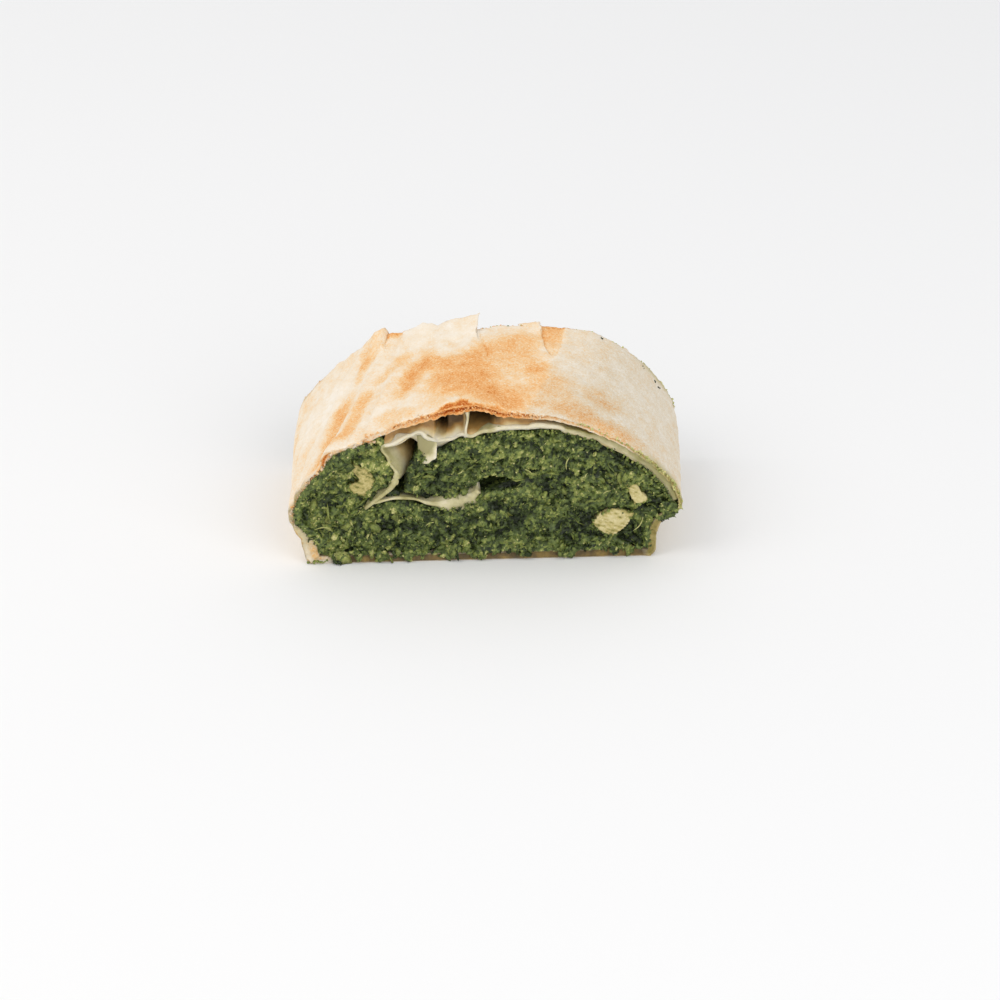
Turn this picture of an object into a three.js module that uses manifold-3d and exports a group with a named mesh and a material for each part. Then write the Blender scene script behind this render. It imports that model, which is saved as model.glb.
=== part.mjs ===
// A thick slice of spinach strudel: a baked pastry roll around a chopped spinach filling, with softer
// pastry layers folded inside it and chunks of tofu that show at both cuts.
// Millimetres. X runs across the slice, Y from the front cut to the back cut, and Z up from the table.
import * as THREE from "three";
import { mergeVertices } from "three/addons/utils/BufferGeometryUtils.js";
import Module from "manifold-3d";

const wasm = await Module();
wasm.setup();

// Driving dimensions of the roll
const WIDTH = 110;
const DEPTH = 57;
const HEIGHT = 48.8;
const BELLY = 16.5; // height where the dome starts, above a short upright wall
const DOME_POWER = 1.62; // roundness of the dome at the front cut: 2 is an ellipse, 1 a triangle
const CROWN_LEAN = 1.4; // how much the crown stands higher on the left than on the right, at the front cut
const CROWN_SPREAD = 9; // distance of that high spot from the middle
const LEFT_RISE = 3; // how much fuller the shoulders are at the back cut
const RIGHT_RISE = 4.4;
const CROWN_DROP = 2.6; // how much lower the crown is at the back cut
const CUT_SKEW = 0.047; // how far back the cuts run for each millimetre to the right

// Each side below its lip: how far the flat underside reaches from the middle, the height of the lip,
// how hollow the side is (1 is straight) and how thick the pastry is where it turns under
const LEFT = { side: -1, base: 51, lip: 13.2, hollow: 2, turnWall: 4 };
const RIGHT = { side: 1, base: 47.6, lip: 15, hollow: 5, turnWall: 2.4 };

// Pastry and clearances
const WALL = 1.5;
const FLOOR = 2.2;
const GAP = 0.35; // between neighbouring pieces
const LAYER = 1.1; // thickness of the soft inner layers
const MIDDLE_SWELL = 1.5; // how much of its thickness the middle layer gains along its line
const LAYER_RECESS = 0.8; // how far the inner layers stay behind the cuts
const WAVER = { lift: 0.45, sway: 0.5, flank: 42, fade: 16 }; // how the inner layers waver, and where that ends

// Relief of the crust
const LUMP = { height: 0.35, across: 8, along: 9 };
const RELIEF_CENTRE = 8; // height that the relief points away from
const RELIEF_START = 9; // height where it has its full strength; the base stays flat
const EDGE_ROUGHNESS = 0.9; // raggedness of the cut edges
const FLAKE = { thickness: 0.9, sunk: 0.3, taper: 0.3, rag: 0.15 };

// Facets
const DOME_FACETS = 46;
const CORNER_FACETS = 6;
const CRUST_STEPS = 15;
const CORE_STEPS = 8;
const UPPER_SAMPLES = 50;
const MIDDLE_SAMPLES = 18;
const MASH_CELL = 3.5; // one bump of the chopped filling
const MASH_ROUGHNESS = 1.1;
const TOFU_RECESS = 0.15; // how far the tofu stays behind the cut
const MARGIN = 5; // how far a cutting block reaches past what it cuts

// Ridges that the outer sheet makes on the left flank: where each one starts at the front cut, in degrees
// from the right-hand horizontal, and its height and spread. They lean towards the crown at the back.
const RIDGE_LEAN = 21;
const RIDGES = [
  { angle: 169, height: 0.6, spread: 4 },
  { angle: 158, height: 1.2, spread: 3.5 },
  { angle: 146, height: 0.9, spread: 4.5 },
  { angle: 130, height: 0.6, spread: 5 },
];

// Flakes that stand up from the crust near the back cut. The tip lies a length away in the heading,
// in degrees, and the twist lifts one corner of it more than the other.
const FLAKES = [
  { x: -9, y: 24, width: 17, length: 10, lift: 2.6, twist: 0.5, heading: -12 },
  { x: 14, y: 24, width: 5, length: 8, lift: 1.6, twist: 0, heading: 8 },
  { x: -29.5, y: 24, width: 8, length: 8, lift: 2.8, twist: 0.2, heading: 6 },
];

// Centre lines of the soft layers in the plane of the cut, as [x, z]
const UPPER_LAYER = [
  [51, 19.3],
  [48.8, 22.6],
  [42.3, 29.2],
  [30.7, 36.7],
  [22, 40.3],
  [12, 42.2],
  [4, 41.9],
  [-3, 39.2],
  [-9, 37.2],
  [-13.2, 34.6],
  [-16.4, 33.6],
  [-18.8, 36.4],
  [-22, 38.7],
  [-26.2, 38.2],
  [-28.6, 35.4],
  [-26.8, 32],
  [-24.7, 28.8],
  [-24.8, 25.6],
  [-27.4, 23],
  [-31.4, 20.9],
];
const UPPER_OUTER_POINTS = 15; // the first of these lie against the crust or an air pocket under it
const MIDDLE_LAYER = [
  [-33.4, 17.9],
  [-28.6, 19],
  [-22, 19.7],
  [-15, 18.4],
  [-9, 18.4],
  [-5.4, 20.1],
  [-2.4, 22],
];
const SEPTUM = { x: -5.5, low: 38.4, high: 45.6, width: 1.1 }; // a bubble wall that stands on the upper layer

// Air pockets in the filling, as outlines in the plane of the cut, and how deep they reach from a cut
const POCKETS = [
  {
    outline: [
      [-27, 37],
      [-21, 37.4],
      [-18.6, 34.4],
      [-20.8, 29],
      [-22.4, 25],
      [-23, 21.5],
      [-27.4, 21.6],
      [-25.4, 26],
      [-25.6, 30],
      [-27.8, 33.6],
    ],
    reach: 18,
  },
  {
    outline: [
      [-3.6, 24],
      [-0.6, 26],
      [2.8, 26.4],
      [7.6, 24.2],
      [4.2, 22.8],
      [1, 21.4],
      [-1.4, 20.8],
    ],
    reach: 12,
  },
];

// Chunks of tofu: outline in the plane of the cut about a centre, how deep it reaches,
// and which cut it shows at
const TOFU = [
  {
    name: "tofu_right",
    cut: "front",
    centre: [35.2, 10.9],
    reach: 8,
    outline: [
      [-5.8, -0.2],
      [-3.6, 2.6],
      [-0.4, 4.1],
      [6.2, 2.4],
      [3.6, -1.6],
      [0.4, -4.4],
      [-2.8, -3.2],
    ],
  },
  {
    name: "tofu_right_upper",
    cut: "front",
    centre: [42.2, 19.6],
    reach: 5,
    outline: [
      [-3.6, 3.4],
      [-0.4, 3],
      [1.2, 0.2],
      [3.4, -2],
      [-0.9, -3.1],
      [-2.2, 0.2],
    ],
  },
  {
    name: "tofu_left",
    cut: "front",
    centre: [-35.2, 26],
    reach: 6,
    outline: [
      [-1.6, 6.2],
      [1.4, 3],
      [4, 0.4],
      [2.4, -5],
      [-2.2, -4.6],
      [-3.4, -2],
      [0.2, 0.2],
      [-2.4, 3.4],
    ],
  },
  {
    name: "tofu_back_left",
    cut: "back",
    centre: [-14, 10.6],
    reach: 7,
    outline: [
      [-5, 0.6],
      [-1.6, 3.8],
      [4, 2.4],
      [4.8, -1.4],
      [0, -3.8],
      [-4, -2.6],
    ],
  },
  {
    name: "tofu_back_right",
    cut: "back",
    centre: [24, 24],
    reach: 6,
    outline: [
      [-3.8, 1.4],
      [-0.4, 3.8],
      [3.4, 1.8],
      [3, -2.6],
      [-1.4, -3.6],
    ],
  },
];

const CRUST_MATERIAL = new THREE.MeshStandardMaterial({ color: 0xe9b981, roughness: 0.75, metalness: 0 });
const FILLING_MATERIAL = new THREE.MeshStandardMaterial({ color: 0x4f5a31, roughness: 0.6, metalness: 0 });
const LAYER_MATERIAL = new THREE.MeshStandardMaterial({ color: 0xc9c6ab, roughness: 0.55, metalness: 0 });
const TOFU_MATERIAL = new THREE.MeshStandardMaterial({ color: 0xbfb37f, roughness: 0.8, metalness: 0 });

// Solids

function solidOf(geometry) {
  geometry.deleteAttribute("normal");
  geometry.deleteAttribute("uv");
  const merged = mergeVertices(geometry);
  const vertProperties = new Float32Array(merged.getAttribute("position").array);
  const triVerts = new Uint32Array(merged.index.array);
  return new wasm.Manifold(new wasm.Mesh({ numProp: 3, vertProperties, triVerts }));
}

function meshOf(name, solid, material) {
  const { vertProperties, triVerts } = solid.getMesh();
  const geometry = new THREE.BufferGeometry();
  geometry.setAttribute("position", new THREE.BufferAttribute(vertProperties, 3));
  geometry.setIndex(new THREE.BufferAttribute(triVerts, 1));
  reshaped(geometry, (p) => {
    p.y += CUT_SKEW * p.x;
  });
  geometry.computeVertexNormals();
  const mesh = new THREE.Mesh(geometry, material);
  mesh.name = name;
  return mesh;
}

function reshaped(geometry, move) {
  const position = geometry.getAttribute("position");
  const point = new THREE.Vector3();
  for (let i = 0; i < position.count; i += 1) {
    point.fromBufferAttribute(position, i);
    move(point);
    position.setXYZ(i, point.x, point.y, point.z);
  }
  return geometry;
}

// A section in the plane of the cut, run along Y from one end to the other.
function runThrough(points, from, to, steps) {
  const shape = new THREE.Shape(points);
  const geometry = new THREE.ExtrudeGeometry(shape, { depth: to - from, steps, bevelEnabled: false });
  geometry.rotateX(Math.PI / 2);
  geometry.translate(0, to, 0);
  return geometry;
}

const vectors = (pairs) => pairs.map(([x, z]) => new THREE.Vector2(x, z));

// A repeatable number from 0 to 1 for a place in the plane of the cut.
function grain(x, z, seed) {
  const wave = Math.sin(x * 12.9898 + z * 78.233 + seed * 37.719) * 43758.5453;
  return wave - Math.floor(wave);
}

// Form of the roll

function domeHeight(x, halfWidth, crown) {
  const across = Math.min(Math.abs(x) / halfWidth, 1);
  return BELLY + (crown - BELLY) * (1 - across ** DOME_POWER) ** (1 / DOME_POWER);
}

// The roll's outline in the plane of the cut, set in from the outside: flat base, hollow sides and dome.
function rollOutline(inset, floor, turnInset) {
  const halfWidth = WIDTH / 2 - inset;
  const crown = HEIGHT - inset;
  const corner = (form) => {
    const foot = form.base - turnInset(form);
    const points = [];
    for (let i = 0; i <= CORNER_FACETS; i += 1) {
      const up = i / CORNER_FACETS;
      const reach = foot + (halfWidth - foot) * up ** form.hollow;
      points.push(new THREE.Vector2(form.side * reach, floor + (form.lip - floor) * up));
    }
    return points;
  };
  const dome = [];
  for (let i = 0; i <= DOME_FACETS; i += 1) {
    const x = halfWidth * Math.cos((i / DOME_FACETS) * Math.PI);
    dome.push(new THREE.Vector2(x, domeHeight(x, halfWidth, crown)));
  }
  return [...corner(RIGHT), ...dome, ...corner(LEFT).reverse()];
}

// Leans the crown to the left at the front cut, and towards the back lowers it and lifts the shoulders.
// The base stays flat.
function rise(point) {
  const back = THREE.MathUtils.clamp(point.y / DEPTH + 0.5, 0, 1);
  const across = Math.min(Math.abs(point.x) / (WIDTH / 2), 1);
  const shoulder = 4 * across ** 2 * (1 - across ** 2) * (point.x < 0 ? LEFT_RISE : RIGHT_RISE);
  const drop = CROWN_DROP * (1 - across ** 2) ** 2;
  const offset = -point.x / CROWN_SPREAD;
  const lean = CROWN_LEAN * offset * Math.exp((1 - offset ** 2) / 2);
  const height = (shoulder - drop) * back + lean * (1 - back);
  point.z += height * (point.z / HEIGHT) ** 2;
}

// Soft layers waver along the depth, except where they lie against the flank.
function waver(point) {
  const free = THREE.MathUtils.smoothstep(WAVER.flank - Math.abs(point.x), 0, WAVER.fade);
  const phase = (2 * Math.PI * (point.y + DEPTH / 2)) / DEPTH;
  point.z += WAVER.lift * free * Math.sin(phase * 2 + point.x / 6);
  point.x += WAVER.sway * free * Math.sin(phase * 1.5 + point.z / 7);
}

// Outward relief of the crust: low lumps everywhere and ridges on the left flank.
function wrinkle(point) {
  const clear = THREE.MathUtils.smoothstep(point.z, 0.5, RELIEF_START);
  const back = point.y / DEPTH + 0.5;
  const out = new THREE.Vector2(point.x, point.z - RELIEF_CENTRE).normalize();
  const angle = THREE.MathUtils.radToDeg(Math.atan2(point.z - BELLY, point.x));
  let height = LUMP.height * Math.sin(point.x / LUMP.across + 1.2) * Math.sin(point.y / LUMP.along + 0.4);
  for (const ridge of RIDGES) {
    const offset = (angle + RIDGE_LEAN * back - ridge.angle) / ridge.spread;
    height += ridge.height * Math.exp(-(offset ** 2));
  }
  point.x += out.x * height * clear;
  point.z += out.y * height * clear;
}

// Leaves the cut edges of the crust ragged.
function ragged(point) {
  const atCut = Math.abs(point.y) > DEPTH / 2 - 0.01;
  if (atCut) point.y -= Math.sign(point.y) * EDGE_ROUGHNESS * grain(point.x, point.z, Math.sign(point.y));
}

function flakeSolid({ x, y, width, length, lift, twist, heading }) {
  const plate = new THREE.BoxGeometry(width, length, FLAKE.thickness, 5, 6, 1);
  reshaped(plate, (p) => {
    const tip = p.y / length + 0.5;
    const corner = 1 + (2 * twist * p.x) / width;
    p.x *= 1 - FLAKE.taper * tip ** 2 + FLAKE.rag * grain(p.x, p.y, 3);
    p.z += lift * corner * tip ** 2 - FLAKE.sunk;
  });
  plate.rotateZ(THREE.MathUtils.degToRad(heading));
  plate.translate(x, y, 0);
  return solidOf(
    reshaped(plate, (p) => {
      const under = new THREE.Vector3(p.x, p.y, domeHeight(p.x, WIDTH / 2, HEIGHT));
      rise(under);
      p.z += under.z;
    }),
  );
}

// A block whose two cut faces are as bumpy as the chopped filling.
function mashBlock() {
  const width = WIDTH + 2 * MARGIN;
  const height = HEIGHT + 2 * MARGIN;
  const columns = Math.round(width / MASH_CELL);
  const rows = Math.round(height / MASH_CELL);
  const block = new THREE.BoxGeometry(width, DEPTH, height, columns, 1, rows);
  block.translate(0, 0, HEIGHT / 2);
  return solidOf(
    reshaped(block, (p) => {
      const cut = Math.sign(p.y);
      p.y -= cut * MASH_ROUGHNESS * grain(p.x, p.z, cut);
    }),
  );
}

// Soft layers

function layerLine(pairs, samples) {
  return new THREE.SplineCurve(vectors(pairs)).getPoints(samples);
}

// The outline of a layer along its centre line, grown all round by a clearance. A swell thickens its far end.
function layerOutline(line, swell, clearance) {
  const last = line.length - 1;
  const upper = [];
  const lower = [];
  line.forEach((p, i) => {
    const along = line[Math.min(i + 1, last)].clone().sub(line[Math.max(i - 1, 0)]).normalize();
    const half = (LAYER / 2) * (1 + (swell * i) / last) + clearance;
    const side = new THREE.Vector2(-along.y, along.x).multiplyScalar(half);
    const reach = i === 0 ? -clearance : i === last ? clearance : 0;
    const middle = p.clone().addScaledVector(along, reach);
    upper.push(middle.clone().add(side));
    lower.unshift(middle.clone().sub(side));
  });
  return [...upper, ...lower];
}

function settle(point) {
  waver(point);
  rise(point);
}

const beyond = DEPTH / 2 + MARGIN; // past both cuts

function layerSolid(outline) {
  return solidOf(reshaped(runThrough(outline, -beyond, beyond, CORE_STEPS), settle));
}

function trimmed(solid, from, to) {
  const block = new THREE.BoxGeometry(3 * WIDTH, to - from, 6 * HEIGHT);
  block.translate(0, (from + to) / 2, 0);
  return solid.intersect(solidOf(block));
}

// The roll's inside, shrunk by a clearance.
function cavity(clearance) {
  const outline = rollOutline(WALL + clearance, FLOOR + clearance, ({ turnWall }) => turnWall + clearance);
  return solidOf(reshaped(runThrough(outline, -beyond, beyond, CORE_STEPS), rise));
}

// Pieces

function crustSolid() {
  const outline = rollOutline(0, 0, () => 0);
  const body = reshaped(runThrough(outline, -DEPTH / 2, DEPTH / 2, CRUST_STEPS), (p) => {
    wrinkle(p);
    rise(p);
    ragged(p);
  });
  let loaf = solidOf(body);
  for (const flake of FLAKES) loaf = loaf.add(flakeSolid(flake));
  return loaf.subtract(cavity(0));
}

const upperLine = layerLine(UPPER_LAYER, UPPER_SAMPLES);
const middleLine = layerLine(MIDDLE_LAYER, MIDDLE_SAMPLES);
const layerEnd = DEPTH / 2 - LAYER_RECESS;

function septumOutline() {
  const half = SEPTUM.width / 2;
  return vectors([
    [SEPTUM.x - half, SEPTUM.low],
    [SEPTUM.x + half, SEPTUM.low],
    [SEPTUM.x + half, SEPTUM.high],
    [SEPTUM.x - half, SEPTUM.high],
  ]);
}

function upperLayerSolid() {
  const sheet = layerSolid(layerOutline(upperLine, 0, 0)).add(layerSolid(septumOutline()));
  return trimmed(sheet.intersect(cavity(GAP)), -layerEnd, layerEnd);
}

function middleLayerSolid() {
  return trimmed(layerSolid(layerOutline(middleLine, MIDDLE_SWELL, 0)), -layerEnd, layerEnd);
}

// A closed outline moved outwards at each corner.
function grown(points, clearance) {
  const outward = THREE.ShapeUtils.isClockWise(points) ? clearance : -clearance;
  return points.map((p, i) => {
    const after = points[(i + 1) % points.length];
    const along = after.clone().sub(points.at(i - 1)).normalize();
    return new THREE.Vector2(p.x - along.y * outward, p.y + along.x * outward);
  });
}

function tofuSolid({ cut, centre, reach, outline }, clearance) {
  const placed = grown(vectors(outline), clearance).map((p) => p.add(new THREE.Vector2(...centre)));
  const facing = cut === "front" ? -1 : 1;
  const face = clearance > 0 ? beyond : DEPTH / 2 - TOFU_RECESS;
  const root = DEPTH / 2 - reach - clearance;
  const [from, to] = facing < 0 ? [-face, -root] : [root, face];
  return solidOf(reshaped(runThrough(placed, from, to, 2), rise));
}

// The space outside the upper layer: it holds the crust and the air pockets under it.
function outsideUpperLayer() {
  const outerShare = (UPPER_OUTER_POINTS - 1) / (UPPER_LAYER.length - 1);
  const outer = upperLine.slice(0, Math.round(outerShare * (upperLine.length - 1)) + 1);
  const top = HEIGHT * 2;
  const right = new THREE.Vector2(WIDTH, top);
  const rightLow = new THREE.Vector2(WIDTH, outer[0].y);
  const left = new THREE.Vector2(outer[outer.length - 1].x, top);
  return layerSolid([...outer, left, right, rightLow]);
}

function pocketSolids({ outline, reach }) {
  const line = new THREE.SplineCurve(vectors([...outline, outline[0]])).getPoints(outline.length * 3);
  line.pop();
  const tunnel = layerSolid(line);
  return [trimmed(tunnel, -beyond, reach - DEPTH / 2), trimmed(tunnel, DEPTH / 2 - reach, beyond)];
}

function fillingSolid() {
  const slots = [
    outsideUpperLayer(),
    layerSolid(layerOutline(upperLine, 0, GAP)),
    layerSolid(layerOutline(middleLine, MIDDLE_SWELL, GAP)),
    ...POCKETS.flatMap(pocketSolids),
    ...TOFU.map((chunk) => tofuSolid(chunk, GAP)),
  ];
  let mash = cavity(GAP).intersect(mashBlock());
  for (const slot of slots) mash = mash.subtract(slot);
  return mash;
}

const strudel = new THREE.Group();
strudel.add(meshOf("crust", crustSolid(), CRUST_MATERIAL));
strudel.add(meshOf("filling", fillingSolid(), FILLING_MATERIAL));
strudel.add(meshOf("pastry_layer_upper", upperLayerSolid(), LAYER_MATERIAL));
strudel.add(meshOf("pastry_layer_middle", middleLayerSolid(), LAYER_MATERIAL));
for (const chunk of TOFU) strudel.add(meshOf(chunk.name, tofuSolid(chunk, 0), TOFU_MATERIAL));

// The origin is on the table, under the middle of the slice.
const box = new THREE.Box3().setFromObject(strudel);
const middle = box.getCenter(new THREE.Vector3());
strudel.position.set(-middle.x, -middle.y, -box.min.z);

export default strudel;
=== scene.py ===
import math

import bmesh
import bpy
import numpy as np
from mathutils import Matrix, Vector
from mathutils.bvhtree import BVHTree
from mathutils.kdtree import KDTree


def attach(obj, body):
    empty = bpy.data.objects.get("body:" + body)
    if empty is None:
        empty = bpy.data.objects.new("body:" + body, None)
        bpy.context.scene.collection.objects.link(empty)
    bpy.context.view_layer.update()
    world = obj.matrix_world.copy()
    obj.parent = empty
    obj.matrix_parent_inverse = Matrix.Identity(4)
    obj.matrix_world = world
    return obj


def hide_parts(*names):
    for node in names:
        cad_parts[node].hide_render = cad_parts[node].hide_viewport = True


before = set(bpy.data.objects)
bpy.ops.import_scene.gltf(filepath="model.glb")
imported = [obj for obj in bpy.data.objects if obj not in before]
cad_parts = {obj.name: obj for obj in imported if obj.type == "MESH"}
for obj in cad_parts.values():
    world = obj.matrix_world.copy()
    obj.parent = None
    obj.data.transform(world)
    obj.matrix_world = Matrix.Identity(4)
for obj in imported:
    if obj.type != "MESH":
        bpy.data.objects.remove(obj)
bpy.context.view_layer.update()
scene = bpy.context.scene
mm = 0.001
print("frame loaded:", ", ".join(sorted(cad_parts)))

# Camera: the photo's view, about 28 degrees above the table and square to the front cut
view = {"place": (0, -0.9712, 0.5384), "aim": (0.0036, -0.0285, 0.0191), "lens": 138.9, "sensor": 36}
camera = bpy.data.objects.new("camera", bpy.data.cameras.new("camera"))
camera.data.lens = view["lens"]
camera.data.sensor_width = view["sensor"]
camera.location = view["place"]
towards = Vector(view["aim"]) - Vector(view["place"])
camera.rotation_euler = towards.to_track_quat("-Z", "Y").to_euler()
scene.collection.objects.link(camera)
scene.camera = camera


# Small tools

def linear(hexColour):
    parts = [int(hexColour[i:i + 2], 16) / 255 for i in (1, 3, 5)]
    return [p / 12.92 if p <= 0.04045 else ((p + 0.055) / 1.055) ** 2.4 for p in parts] + [1]


def perMetre(size):
    return 1 / (size * mm)  # texture scale for a pattern whose grains are this many millimetres across


def addNode(tree, kind, settings=None, links=None):
    node = tree.nodes.new(kind)
    for name, value in (settings or {}).items():
        if name == "stops":
            ramp = node.color_ramp
            while len(ramp.elements) < len(value):
                ramp.elements.new(0.5)
            for element, (position, colour) in zip(ramp.elements, value):
                element.position = position
                element.color = linear(colour)
        elif isinstance(name, str) and hasattr(node, name):
            setattr(node, name, value)
        else:
            node.inputs[name].default_value = value
    for name, source in (links or {}).items():
        tree.links.new(source, node.inputs[name])
    return node


def smooth(value, low, high):
    part = np.clip((value - low) / (high - low), 0, 1)
    return part * part * (3 - 2 * part)


# Smooth random field from -1 to 1 with lumps about one unit across. Takes an array of points.
def unevenness(points, seed):
    spots = np.asarray(points, float) + seed * 13.7
    cell = np.floor(spots).astype(np.int64)
    part = spots - cell
    ease = part * part * (3 - 2 * part)
    total = np.zeros(len(spots))
    for corner in range(8):
        step = np.array([corner & 1, corner >> 1 & 1, corner >> 2 & 1])
        mixed = (cell + step) @ np.array([374761393, 668265263, 1440662683]) + seed * 1013904223
        mixed = (mixed ^ (mixed >> 13)) * 1274126177
        mixed = (mixed ^ (mixed >> 16)) & 0xFFFF
        total += np.prod(np.where(step == 1, ease, 1 - ease), axis=1) * (mixed / 32767.5 - 1)
    return total


# The same over two running coordinates, each with its own lump size in millimetres.
def uneven(a, b, sizeA, sizeB, seed):
    flat = np.column_stack([np.ravel(a) / sizeA, np.ravel(b) / sizeB, np.zeros(np.size(a))])
    return unevenness(flat, seed).reshape(np.shape(a))


# The same along one line
def waver(along, size, seed):
    return uneven(along, 0 * along, size, 1, seed)


# Faces between the neighbours in a grid of point numbers, closed to a loop where it runs around
def facesOf(index, around=False):
    index = np.asarray(index)
    if around:
        index = np.column_stack([index, index[:, 0]])
    corners = [index[:-1, :-1], index[:-1, 1:], index[1:, 1:], index[1:, :-1]]
    return np.stack(corners, axis=-1).reshape(-1, 4)


def gridFaces(rows, columns, start=0, around=False):
    return facesOf(start + np.arange(rows * columns).reshape(rows, columns), around)


# Points in millimetres, before the skew of the cuts.
def addPiece(name, points, faces, material, replaced, marks=None, faceted=False):
    points = np.array(points, float)
    points[:, 1] += roll["cutSkew"] * points[:, 0]
    mesh = bpy.data.meshes.new(name)
    mesh.from_pydata((points * mm).tolist(), [], [list(face) for face in faces])
    built = bmesh.new()
    built.from_mesh(mesh)
    bmesh.ops.recalc_face_normals(built, faces=built.faces)
    built.to_mesh(mesh)
    built.free()
    for mark, values in (marks or {}).items():
        layer = mesh.attributes.new(mark, "FLOAT", "POINT")
        layer.data.foreach_set("value", np.asarray(values, np.float32))
    mesh.polygons.foreach_set("use_smooth", np.full(len(mesh.polygons), not faceted))
    mesh.materials.append(material)
    piece = bpy.data.objects.new(name, mesh)
    scene.collection.objects.link(piece)
    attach(piece, "root")
    if replaced:
        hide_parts(*replaced)
    triangles = sum(len(face.vertices) - 2 for face in mesh.polygons)
    print(f"{name}: {triangles} triangles")
    return piece


# Form of the roll, in millimetres, as in the part's source
roll = {
    "half": 55, "crown": 48.8, "belly": 16.5, "roundness": 1.62, "crownLean": 1.4, "crownSpread": 9,
    "leftRise": 3, "rightRise": 4.4, "crownDrop": 2.6, "depth": 57, "cutSkew": 0.047,
    "wall": 1.5, "floor": 2.2,
    # below the lip: reach of the underside, height of the lip, hollowness, wall where it turns under
    "left": {"foot": 51, "lip": 13.2, "hollow": 2, "turnWall": 4},
    "right": {"foot": 47.6, "lip": 15, "hollow": 5, "turnWall": 2.4},
}

halfDepth = roll["depth"] / 2


# How far inside the nearer cut
def behindCut(y):
    return np.minimum(y + halfDepth, halfDepth - y)


def risen(x, y, z):
    back = np.clip(y / roll["depth"] + 0.5, 0, 1)
    across = np.minimum(np.abs(x) / roll["half"], 1)
    side = np.where(x < 0, roll["leftRise"], roll["rightRise"])
    shoulder = 4 * across ** 2 * (1 - across ** 2) * side
    drop = roll["crownDrop"] * (1 - across ** 2) ** 2
    offset = -x / roll["crownSpread"]
    lean = roll["crownLean"] * offset * np.exp((1 - offset ** 2) / 2)
    return z + ((shoulder - drop) * back + lean * (1 - back)) * (z / roll["crown"]) ** 2


def domeHeight(x, inset):
    half = roll["half"] - inset
    across = np.clip(np.abs(x) / half, 0, 1)
    power = roll["roundness"]
    return roll["belly"] + (roll["crown"] - inset - roll["belly"]) * (1 - across ** power) ** (1 / power)


def evenly(points, count):
    steps = np.linalg.norm(np.diff(points, axis=0), axis=1)
    run = np.concatenate([[0], np.cumsum(steps)])
    at = np.linspace(0, run[-1], count)
    return np.column_stack([np.interp(at, run, points[:, k]) for k in range(points.shape[1])])


# Materials

scaleAndAdd = {"operation": "MULTIPLY_ADD"}
addClamped = {"operation": "ADD", "use_clamp": True}
mixColours = {"data_type": "RGBA"}


def newMaterial(name):
    material = bpy.data.materials.new(name)
    material.use_nodes = True
    return material, material.node_tree


# Colour from a ramp, at the level painted on the mesh, moved up and down by the grain
def grained(tree, level, grain, spread, stops):
    shift = addNode(tree, "ShaderNodeMath", {**scaleAndAdd, 1: spread, 2: -spread / 2}, {0: grain})
    moved = addNode(tree, "ShaderNodeMath", addClamped, {0: level, 1: shift.outputs[0]})
    return addNode(tree, "ShaderNodeValToRGB", {"stops": stops}, {"Fac": moved.outputs[0]}).outputs["Color"]


# The surface itself: its colour, the relief of its grain in millimetres and what the shader's sockets get
def setSurface(tree, colour, height, strength, depth, sockets):
    bump = addNode(tree, "ShaderNodeBump", {"Strength": strength, "Distance": depth * mm}, {"Height": height})
    shader = tree.nodes["Principled BSDF"]
    for name, value in sockets.items():
        shader.inputs[name].default_value = value
    tree.links.new(colour, shader.inputs["Base Color"])
    tree.links.new(bump.outputs["Normal"], shader.inputs["Normal"])


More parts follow.
